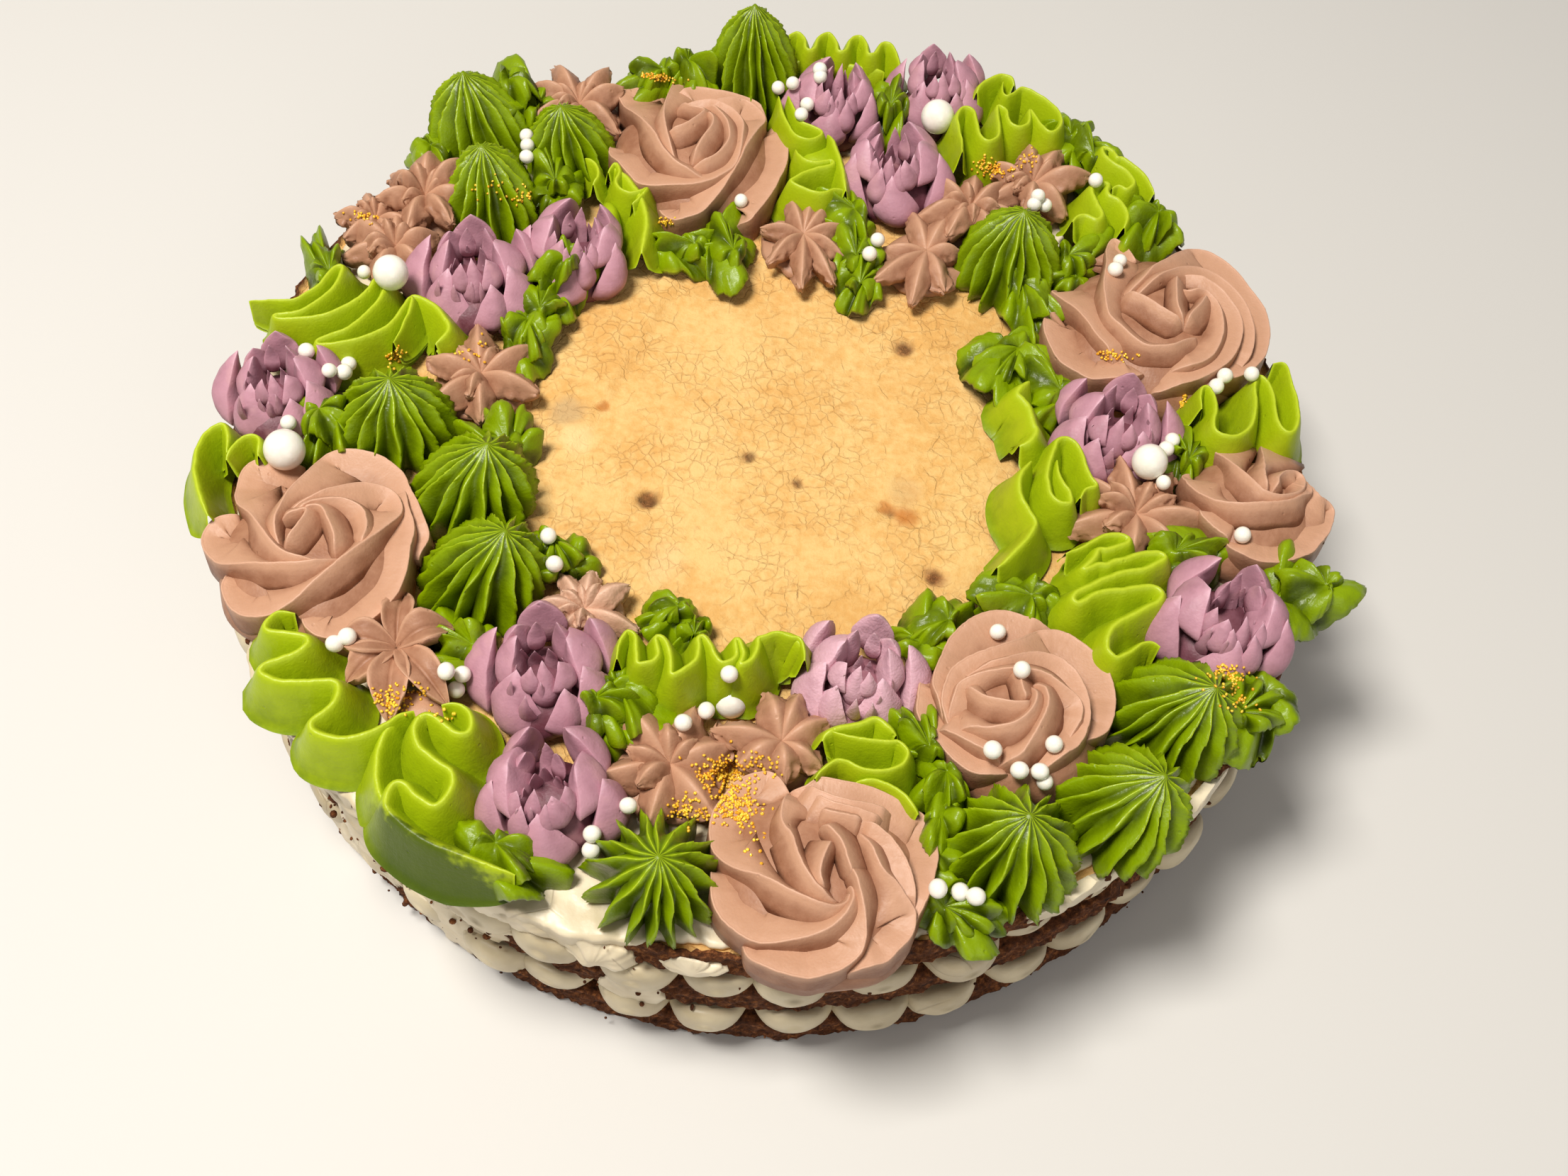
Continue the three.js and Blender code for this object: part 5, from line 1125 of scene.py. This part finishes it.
# Ribbons: node, height of the lip above the top face, half width of the fold, path as seen.
RIBBONS = [
    ("ruffle_12", 11.5, 5.4, [(-49, 74), (-44.5, 70), (-40.5, 64), (-38, 56), (-38, 46)]),
    ("ruffle_10", 14, 4.5, [(-9, 122), (-9, 128), (-6.5, 130.5), (-4.5, 128), (-3.5, 124.5),
        (-1.5, 125), (-0.5, 129.5), (2, 131.5), (4, 128.5), (4.8, 125), (7, 125.5), (8, 130),
        (10.5, 131.5), (12.3, 128.5), (13, 125), (15, 125.5), (16.5, 129.5), (19, 129.5), (21, 125),
        (22, 120)]),
    ("ruffle_10", 10, 5, [(-7, 121), (0, 123), (8, 122), (18, 121)]),
    ("ruffle_1", 11, 5, [(-91, 22), (-90, 24.5), (-86.5, 23.5), (-83, 21), (-80, 17), (-80, 14),
        (-82, 11)]),
    ("ruffle_2", 13, 4.5, [(-120.5, -26), (-121.5, -21), (-123.5, -18.8), (-126.2, -22), (-126.8, -27),
        (-125.8, -32), (-123.5, -37), (-120, -43)]),
    ("ruffle_2", 13, 4, [(-120, -28), (-119.2, -24), (-117, -21.2), (-114.3, -21.8), (-113.5, -26)]),
    ("ruffle_5", 13, 4, [(18, -79), (21, -79.8), (25, -80.3), (29.5, -80.3), (32, -80), (34, -82),
        (33.5, -84.5), (32, -85.8), (29, -87), (25, -87), (22, -85.8), (19.5, -85.8), (17, -88),
        (15.8, -90)]),
    ("ruffle_4", 15, 6, [(0.5, -60.5), (3, -58.5), (6, -57.6), (9, -58.2), (11.2, -61)]),
    ("ruffle_5", 12.5, 5, [(16.5, -81.5), (17.3, -80), (20, -78.3), (24, -77), (27, -75.3), (30, -77),
        (31.5, -78.5)]),
    ("ruffle_5", 12, 4, [(24, -90), (28, -89.5), (31.5, -90.5), (34.5, -92.5), (37, -95.5)]),
    ("ruffle_11", 14, 4, [(-9.5, 105.5), (-8, 99), (-5.5, 93.5), (-3.5, 91), (0, 90), (2.3, 91.5),
        (2.8, 93.3), (0, 95), (-3, 96.5), (-5, 100.5), (-7, 106)]),
    ("ruffle_11", 13, 4.5, [(4.5, 93.5), (6, 91), (8, 85), (9.5, 79), (10.5, 74)]),
    ("ruffle_11", 12.5, 4.5, [(-3.5, 87), (-2.5, 85), (0, 83), (3.5, 83), (6, 84), (6.5, 82.5),
        (2.5, 80.5), (-0.5, 78.5), (-3, 76), (-3.5, 75), (-1, 73.5), (4, 72), (7.5, 74), (10, 74.5)]),
    ("ruffle_12", 12, 4, [(-50, 72), (-48.5, 75), (-47, 72.5), (-47.5, 69), (-46, 66.5), (-43.5, 65.5),
        (-40.5, 66.5), (-39.5, 67.5), (-41, 64), (-42.5, 62)]),
    ("ruffle_12", 10, 3.5, [(-57, 77), (-54, 75), (-52.5, 71.5), (-53.5, 68)]),
    ("ruffle_1", 12, 4.5, [(-127.5, 18), (-123.5, 18.5), (-117.5, 19.5), (-114.5, 22), (-112.5, 24.5),
        (-111.3, 27.5), (-110, 30.5), (-108.5, 31.5), (-108, 30), (-108.3, 26), (-110, 22),
        (-112.5, 18.5), (-115.5, 15.8), (-120, 14.2), (-119.5, 13.2), (-115, 13.8), (-110, 15.2),
        (-106, 18), (-102.5, 21.5), (-100.5, 25), (-99.5, 28.5), (-98, 29.2), (-96.8, 26.5), (-97, 23),
        (-98.5, 19), (-100.5, 15.5), (-103, 12.2), (-106, 10), (-108.5, 8), (-108, 6.8), (-104, 7.6),
        (-100, 9.3), (-96, 12), (-93.5, 14.5), (-91.8, 18.5), (-90.8, 22.5), (-90, 24), (-89.6, 22),
        (-90, 17.5), (-90.5, 13.5), (-91.5, 10)]),
    ("ruffle_4", 16, 5, [(-27.2, -67.3), (-27.3, -64.7), (-26.9, -62.3), (-25.9, -60.5), (-24.3, -61.4),
        (-23.7, -63.8), (-23.3, -66.3), (-22.8, -68), (-21.4, -67.8), (-19.7, -67), (-19, -65.3),
        (-19.4, -63.2), (-19.9, -61.4), (-18.8, -61.1), (-17.4, -62.9), (-16.4, -65.3), (-16, -67.5),
        (-15.7, -69.7), (-14.2, -69.2), (-12.4, -67.5), (-10.9, -65.5), (-10.8, -62.9), (-11.1, -60.6),
        (-10.1, -60), (-8.7, -61.7), (-7.5, -63.8), (-5.9, -65.7), (-4.1, -65.1), (-2.9, -63.8),
        (-3.2, -61.8), (-3.6, -60.1), (-2.7, -59.8), (-1.8, -61.7), (-1.3, -63.5), (-1.9, -65.7),
        (-0.4, -65), (1, -62.9), (1.4, -60.7), (1.3, -59.1), (2.7, -58.5), (4.8, -57.3), (7.9, -57.8),
        (9.9, -58), (11.1, -60.7), (11.3, -63)]),
    ("ruffle_6", 13, 5.5, [(66.5, -29.4), (70.5, -27.2), (73, -25.1), (75.6, -23.6), (78.2, -23),
        (80.4, -23.8), (80.2, -25.1), (78.2, -26.2), (75.6, -27.4), (73.8, -27.8), (73, -29.6),
        (71.8, -31.5), (70.3, -33.3), (72.1, -32.5), (73.7, -31.7), (75.6, -31.5), (77.5, -30.2),
        (79.8, -29.3), (82, -28.2), (84.6, -27.2), (87.1, -26.9), (88.5, -28), (86.5, -29.9),
        (84.6, -31.2), (82, -32.2), (78.8, -33.1), (76.6, -34.4), (74.6, -35.4), (72.4, -37),
        (70.5, -38.2), (68.9, -39.5), (68, -41.2), (69, -42), (70.5, -41.3), (72.4, -39.8),
        (74.6, -38.6), (77.2, -37.8), (79.4, -37.5), (82, -36.6), (84.6, -36), (86.5, -36.2),
        (87.6, -37.6), (86.8, -39.5), (84.6, -41.1), (82, -43), (79.8, -44.5), (77.8, -45.9),
        (76.2, -47.8), (75.3, -50.4), (75.4, -53), (77.2, -54.6), (79.1, -53.6), (80.7, -52.3),
        (82.6, -50.7), (84.9, -49.9), (86.8, -50.7)]),
    ("ruffle_7", 13, 5, [(58.7, -5), (56.5, -9), (55.8, -12.3), (56.5, -16), (58, -18.9), (59.4, -21.5),
        (59.6, -23.3), (58.7, -25.5), (57.2, -27.7), (55.8, -29.9), (53.9, -32.5), (51.4, -35)]),
    ("ruffle_7", 13, 4.5, [(69.8, -14), (71, -11.5), (73.5, -10.3), (72, -8), (71, -5), (70, -1.5),
        (68.6, 1.2), (66.6, 2.3), (64.6, 1.2), (63.6, -2), (62.6, -6), (62.3, -10), (63, -14),
        (65, -16), (67.6, -15.8), (67.2, -13), (65.8, -10.5), (64.8, -7.5), (64.6, -4)]),
    ("ruffle_7", 12, 6, [(58.2, 18.5), (55.2, 14.5), (56.5, 12.5), (58, 10), (59, 6), (59.8, 3.5),
        (58.5, 0.5), (56, -1)]),
    ("ruffle_8", 15, 4.5, [(98, 15), (97.9, 18.5), (98.6, 21.3), (100, 21.5), (101, 19), (101.3, 15.5),
        (100.6, 11.5), (101, 8.7), (103.5, 7.4), (106.5, 8), (108.8, 10.3), (110.2, 14), (110.9, 18.5),
        (111, 23), (112.2, 26.2), (114, 25), (115, 21.5), (115.3, 17), (115.7, 13), (117.3, 10.5),
        (119.3, 11), (120.6, 15), (120.5, 20.5), (119.8, 26), (118.8, 31), (116, 31.2)]),
    ("ruffle_9", 16, 4.5, [(39.5, 91), (39, 95), (38, 100), (37.7, 104), (38.8, 106.8), (40.5, 107.2),
        (42, 105.5), (42.8, 101), (44, 97), (46, 95.5), (48.5, 98), (48.5, 102.5), (48, 107.5),
        (48.4, 109.2), (50.2, 107.7), (50.8, 105), (51.7, 102.9), (53.9, 102), (56, 103.4), (56.7, 106),
        (56.6, 108.8), (58.2, 106.4), (59.5, 103.8), (61.6, 101.4), (63.6, 102), (64.7, 104.6),
        (64.7, 107.7), (63.8, 109.8), (61.6, 112.5), (59, 114.6), (56.5, 116.3), (54.3, 116.8),
        (52, 114.5), (50.4, 113.3), (49.3, 115), (49.5, 119)]),
    ("ruffle_9", 16, 5, [(42.6, 113.5), (43.5, 116), (45.2, 118.5), (48.7, 121), (51.3, 120.5),
        (52.4, 118)]),
    ("ruffle_9", 13, 5.5, [(68.5, 71.5), (69.8, 73.5), (72, 73.9), (74.6, 72.6), (76, 75), (74.5, 79),
        (73.3, 83.4), (75, 85.6), (77.6, 85.8), (77.2, 83.4), (78, 81.7), (80.2, 80.4), (82, 77.4),
        (82.4, 74.4), (81.5, 71.3)]),
    ("ruffle_9", 14, 5, [(78.5, 84.3), (80.2, 85.4), (82.2, 84.3), (84, 87), (82, 91), (79, 93),
        (76.5, 96), (76.3, 98.6), (78.5, 97.8), (80, 95.3), (81.5, 95.1), (85.4, 91.7), (88, 87.8),
        (89.3, 83.9)]),
    ("ruffle_3", 13, 5.5, [(-95.6, -64.7), (-99.1, -64.9), (-100.9, -67.9), (-100.1, -69.6),
        (-96.1, -69.9), (-92.2, -70.1), (-91.1, -71.6), (-92.9, -74.1), (-96.1, -76), (-98.6, -77.8),
        (-98.8, -79.5), (-94.6, -81), (-89.2, -80.5), (-84.3, -79.7), (-82.5, -81.2), (-82.5, -84.2),
        (-84.3, -87.1), (-86, -89.1), (-85.5, -91.1), (-82.8, -92.1), (-78.3, -92.1), (-74.4, -90.6),
        (-71.4, -88.1), (-69.5, -85.9), (-66.5, -84.4)]),
    ("ruffle_3", 12, 5, [(-69.5, -85.9), (-71.4, -90.6), (-71.7, -95.5), (-70.5, -101.4), (-68, -105.9)]),
    ("ruffle_3", 14, 5.5, [(-61.1, -82.2), (-58.6, -81.7), (-55.7, -82.9), (-54.2, -85.7),
        (-54.7, -87.9), (-57.1, -88.4), (-60.1, -86.4), (-63.1, -84.9), (-65, -86.1), (-65.3, -89.1),
        (-63.5, -92.1), (-60.1, -94.5), (-56.6, -96.5), (-55.4, -99), (-56.1, -102.4), (-58.1, -104.4),
        (-61.6, -102.9), (-64.5, -100.5), (-66.8, -100.5), (-67.5, -103.4), (-66.5, -106.4),
        (-61.1, -110.3), (-56.6, -112.3), (-51.7, -113.8), (-45.8, -115.3), (-40, -116.7)]),
]

# The piping of each node, and the leaves beside it.
bodies, green = {}, {}


def body(node, found=bodies):
    return found.setdefault(node, Piping())


# Each piece has a seed of its own, so that no two come out alike: one for each cookie and
# filling, and k above a round number for each kind of piping.
cookie("cookie_bottom", 0, 11, BAKED, "baked_cookie", False)
filling("cream_lower", COOKIE_HEIGHT, 21, 0)
cookie("cookie_middle", MIDDLE_BASE, 31, BAKED, "baked_cookie", False)
filling("cream_upper", MIDDLE_BASE + COOKIE_HEIGHT, 41, 1)
cookie("cookie_top", TOP_BASE, 51, GOLDEN, "golden_cookie", True)
rim("rim_cream")
smears("side_smears")
crumbs("side_crumbs")

for k, (node, centre, radius, height, ragged, lips) in enumerate(ROSES):
    rose(body(node), centre, radius, height, lips, k + 1, ragged)
for k, (node, x, y, radius, height, turn, petals) in enumerate(STARS):
    middle, outer, inner = star(x, y, radius, height, math.radians(turn), petals, 200 + k)
    blossom(body(node), middle, outer, radius * 2.1 / petals, height, 1.2, 200 + k)
    blossom(body(node), middle, inner, radius * 1.3 / petals, height, 1.3, 260 + k)
for k, (node, height, wide, keel, middle, tips) in enumerate(BLOSSOMS):
    rng = np.random.default_rng(230 + k)
    blossom(body(node), settle([middle], 0.6 * height)[0],
            settle(tips, height * rng.uniform(0.45, 0.72, len(tips))), wide, height, keel,
            230 + k)
for k, (node, x, y, size, height, mirror, rows) in enumerate(CLUSTERS):
    cluster(body(node), x, y, size, height, mirror, BUDS[rows], 300 + k)
for k, (node, x, y, along, across, height, turn, *lean) in enumerate(DOMES):
    dome(body(node), x, y, along, across, height, math.radians(turn), lean, 400 + k)
for k, (node, x, y, along, across, height, turn) in enumerate(LEAVES):
    leaf(body(node, green), x, y, along * LEAF_LONG, across * LEAF_WIDE, height,
         math.radians(turn), 500 + k)
for k, (node, x, y, along, across, height, turn) in enumerate(BULGES):
    mound(body(node), x, y - SEEN_SHIFT * (0.6 * height - SEEN_PLANE), along, across, height,
          math.radians(turn), 650 + k)
for k, (node, height, wide, line) in enumerate(RIBBONS):
    path = settle(line, height)
    tent(body(node), path, wide * FOLD_FOOT, height, 700 + k, 1.9, 0.07)
    if node in FULL:
        tent(body(node), path * [1, 1, FULL[node]], wide * FULL_FOOT, height * FULL[node],
             800 + k, 1.6)

# The material and slot of each kind of piping, and of three nodes unlike the rest of theirs.
LOOKS = {
    "rose": (MAUVE, "mauve_icing"), "blossom": (MAUVE, "mauve_icing"),
    "blossom_2": (PALE_MAUVE, "mauve_icing"), "cluster": (PURPLE, "purple_icing"),
    "cluster_6": (PALE_PURPLE, "purple_icing"), "dome": (DARK_GREEN, "dark_green_icing"),
    "ruffle": (LIGHT_GREEN, "light_green_icing"),
    "ruffle_3": (TWO_TONE_GREEN, "light_green_icing"),
}
made = []
for node, piping in bodies.items():
    material, slot = LOOKS.get(node) or LOOKS[node.split("_")[0]]
    made.append(piping.make(node + "_piping", material, slot, [node]))
for node, piping in green.items():
    made.append(piping.make(node + "_leaves", LEAF_GREEN, "dark_green_icing", [node]))


# ---- Pearls and gold sugar ---------------------------------------------------------------

back = Vector((0, -math.cos(ELEVATION), math.sin(ELEVATION)))
target = Vector((LOOK_AT[0], LOOK_AT[1], TOP_FACE)) * MILLIMETRE
eye = target + back * DISTANCE * MILLIMETRE
EYE_MM = np.array(eye) / MILLIMETRE

bpy.context.view_layer.update()
graph = bpy.context.evaluated_depsgraph_get()
trees = [BVHTree.FromObject(piece, graph) for piece in made]


def seen_spot(x, y):
    """Where the line of sight through a point of the seen plane meets the piping, in
    millimetres, which way the surface faces there, and the way that the line runs."""
    aim = Vector((x, y, TOP_FACE + SEEN_PLANE)) * MILLIMETRE
    way = (aim - eye).normalized()
    best = None
    for tree in trees:
        place, normal, _, far = tree.ray_cast(eye, way)
        if place is not None and (best is None or far < best[2]):
            best = (place, normal, far)
    if best is None:
        place = eye + way * ((TOP_FACE * MILLIMETRE - eye.z) / way.z)
        return np.array(place) / MILLIMETRE, np.array([0.0, 0.0, 1.0]), np.array(way)
    return np.array(best[0]) / MILLIMETRE, np.array(best[1]), np.array(way)


def resting_spot(x, y, radius):
    """The middle of a pearl that is seen at x and y: of nine sight lines spread over its width,
    the one that meets the piping first stops it, a little pressed in."""
    angle = np.linspace(0, TURN, 8, endpoint=False)
    lines = [(0, 0, 0.7)] + [(math.cos(a) * 0.75, math.sin(a) * 0.75, 0.45) for a in angle]
    reach = min(np.linalg.norm(seen_spot(x + right * radius, y + up * radius)[0] - EYE_MM)
                - deep * radius for right, up, deep in lines)
    return EYE_MM + seen_spot(x, y)[2] * reach


# Pearls as seen: x, y and, for the large ones, radius.
LARGE_PEARLS = [(-109, -24, 4.6), (-3, -75, 4.0), (33, 105, 4.4), (86.5, -2, 4.1),
                (-97, 31, 4.2)]
SMALL_RADIUS = 1.86
SMALL_PEARLS = [
    (-111, 4.5), (-104.5, -0.5), (-100.5, 2), (-101, -0.5), (-110, -16.5), (-47, -39.5),
    (-44.5, -46.5), (-62.4, -75.3), (-58.9, -75.6), (-59.5, -79.3), (-27, -107.8),
    (-26.7, -111.2), (-20.8, -101), (-12.2, -81.4), (-7.8, -78.1), (-4, -69), (52.2, -51.9),
    (57.5, -60.6), (64.4, -77.4), (51.7, -80.2), (57.3, -84.2), (61.5, -84), (62.5, -86.2),
    (41.6, -111.6), (46, -111.8), (49.1, -112.4), (92, 5), (90.5, 2.3), (89.5, -7.5),
    (107, -19.8), (103.2, 22.6), (105.5, 26.2), (112, 27.6), (80.8, 60), (79.6, 57),
    (75, 87.5), (60, 79.6), (59, 76.5), (61.8, 76.6), (-10, 109.7), (-6.3, 112),
    (0.5, 118.5), (0.8, 115.8), (-1.8, 104.5), (-3, 100.5), (-15.6, 67), (19.7, 58.5),
    (18, 53.5), (-72.8, 82), (-72, 78.5), (-71.5, 74.5), (-103.3, 30.3), (-84.3, -69.6),
    (-86.5, -71.6),
]

pearls, fine_pearls = Piping(), Piping()
rng = np.random.default_rng(5)
for x, y, radius in LARGE_PEARLS:
    pearls.add(ball(radius, 40, 24) * [1, 1, 1.04] + resting_spot(x, y, radius))
for x, y in SMALL_PEARLS:
    radius = SMALL_RADIUS * rng.uniform(0.96, 1.06)
    fine_pearls.add(ball(radius, 20, 12) * rng.uniform(0.94, 1.04, 3)
                    + resting_spot(x, y, radius))
pearls.make("large_pearls", PEARL, "sugar_pearl")
fine_pearls.make("small_pearls", PEARL, "sugar_pearl")

# Gold sugar: middle of each patch as seen, spread in x and y, and the number of grains.
PATCHES = [(-3, -92, 4.5, 3.5, 190), (0, -99, 4.2, 3.4, 200), (-9, -101, 3.5, 2.6, 70),
           (4, -89, 4.5, 3, 40), (5, -106, 1.6, 3.5, 14), (-72, -83, 3.8, 3, 90),
           (-60, -85.5, 3, 1.4, 16), (-67, -80.5, 1.6, 1.6, 22), (102, -57, 3.6, 2.6, 80),
           (104, -63, 3, 2, 24), (-91, 6, 2.6, 2.6, 60), (-70, 61, 2, 3, 24),
           (-43, 109, 4.4, 1.2, 60), (48, 88, 4.5, 3, 90), (-34, 57, 2, 1.6, 30),
           (95, 17, 1, 2.2, 18), (79, 29, 4, 1.4, 40), (-107, 48, 3, 1.6, 26),
           (-74, 10, 4, 4, 20), (-78, 62, 5, 4, 16), (58, 92, 4, 3, 24)]
GRAIN_RADIUS = 0.36
grains = Piping()
grain = ball(GRAIN_RADIUS, 6, 4)
for x, y, spread_x, spread_y, count in PATCHES:
    for _ in range(count):
        spot, facing, _ = seen_spot(x + spread_x * rng.normal() * 0.6,
                                    y + spread_y * rng.normal() * 0.6)
        shape = grain * rng.uniform(0.7, 1.25, 3) @ np.array(
            Matrix.Rotation(rng.uniform(0, TURN), 3, Vector(rng.normal(size=3))))
        on_piping, on_cookie = spot[2] > TOP_FACE + 1, np.hypot(*spot[:2]) < BARE_RADIUS
        if on_piping or on_cookie:
            grains.add(shape + spot + facing * 0.15)
grains.make("gold_sugar", GOLD, "gold_sugar")


# ---- Floor, camera and light -------------------------------------------------------------

def stage(name, half):
    """A plain pale floor under the cake, `half` metres to each side."""
    def build(wire):
        return {"Base Color": wire.noise(400).colors((206, 203, 198), (212, 209, 204))}
    mesh = bpy.data.meshes.new(name)
    mesh.from_pydata([(-half, -half, 0), (half, -half, 0), (half, half, 0), (-half, half, 0)],
                     [], [(0, 1, 2, 3)])
    mesh.materials.append(finish(name, build, Roughness=0.7))
    floor = bpy.data.objects.new(name, mesh)
    bpy.context.scene.collection.objects.link(floor)


stage("floor", half=6.0)

view = bpy.data.cameras.new("camera")
view.sensor_width = SENSOR
view.lens = SENSOR * LENS_PIXELS / IMAGE_WIDTH
view.clip_start, view.clip_end = 0.01, 20
camera = bpy.data.objects.new("camera", view)
right, up = Vector((1, 0, 0)), back.cross(Vector((1, 0, 0)))
tilted_right = right * math.cos(ROLL) + up * math.sin(ROLL)
tilted_up = up * math.cos(ROLL) - right * math.sin(ROLL)
turned = Matrix((tilted_right, tilted_up, back)).transposed().to_4x4()
camera.matrix_world = Matrix.Translation(eye) @ turned
bpy.context.scene.collection.objects.link(camera)
bpy.context.scene.camera = camera


def lamp(name, place, size, power, color):
    """A square area light that looks at the cake: place and size in metres, power in watts."""
    data = bpy.data.lights.new(name, "AREA")
    data.size, data.energy, data.color = size, power, color
    light = bpy.data.objects.new(name, data)
    place = Vector(place)
    light.location = place
    light.rotation_euler = (Vector((0, 0, 0.05)) - place).to_track_quat("-Z", "Y").to_euler()
    bpy.context.scene.collection.objects.link(light)


lamp("key", (-0.34, -0.12, 1.05), 0.3, 15.0, (1.0, 0.965, 0.91))
lamp("fill", (0.5, -1.0, 0.7), 0.8, 2.6, (1.0, 0.98, 0.96))
world = bpy.data.worlds.new("studio")
world.use_nodes = True
world.node_tree.nodes["Background"].inputs["Color"].default_value = (1.0, 0.98, 0.95, 1)
world.node_tree.nodes["Background"].inputs["Strength"].default_value = 0.22
bpy.context.scene.world = world
bpy.context.scene.view_settings.view_transform = "Standard"
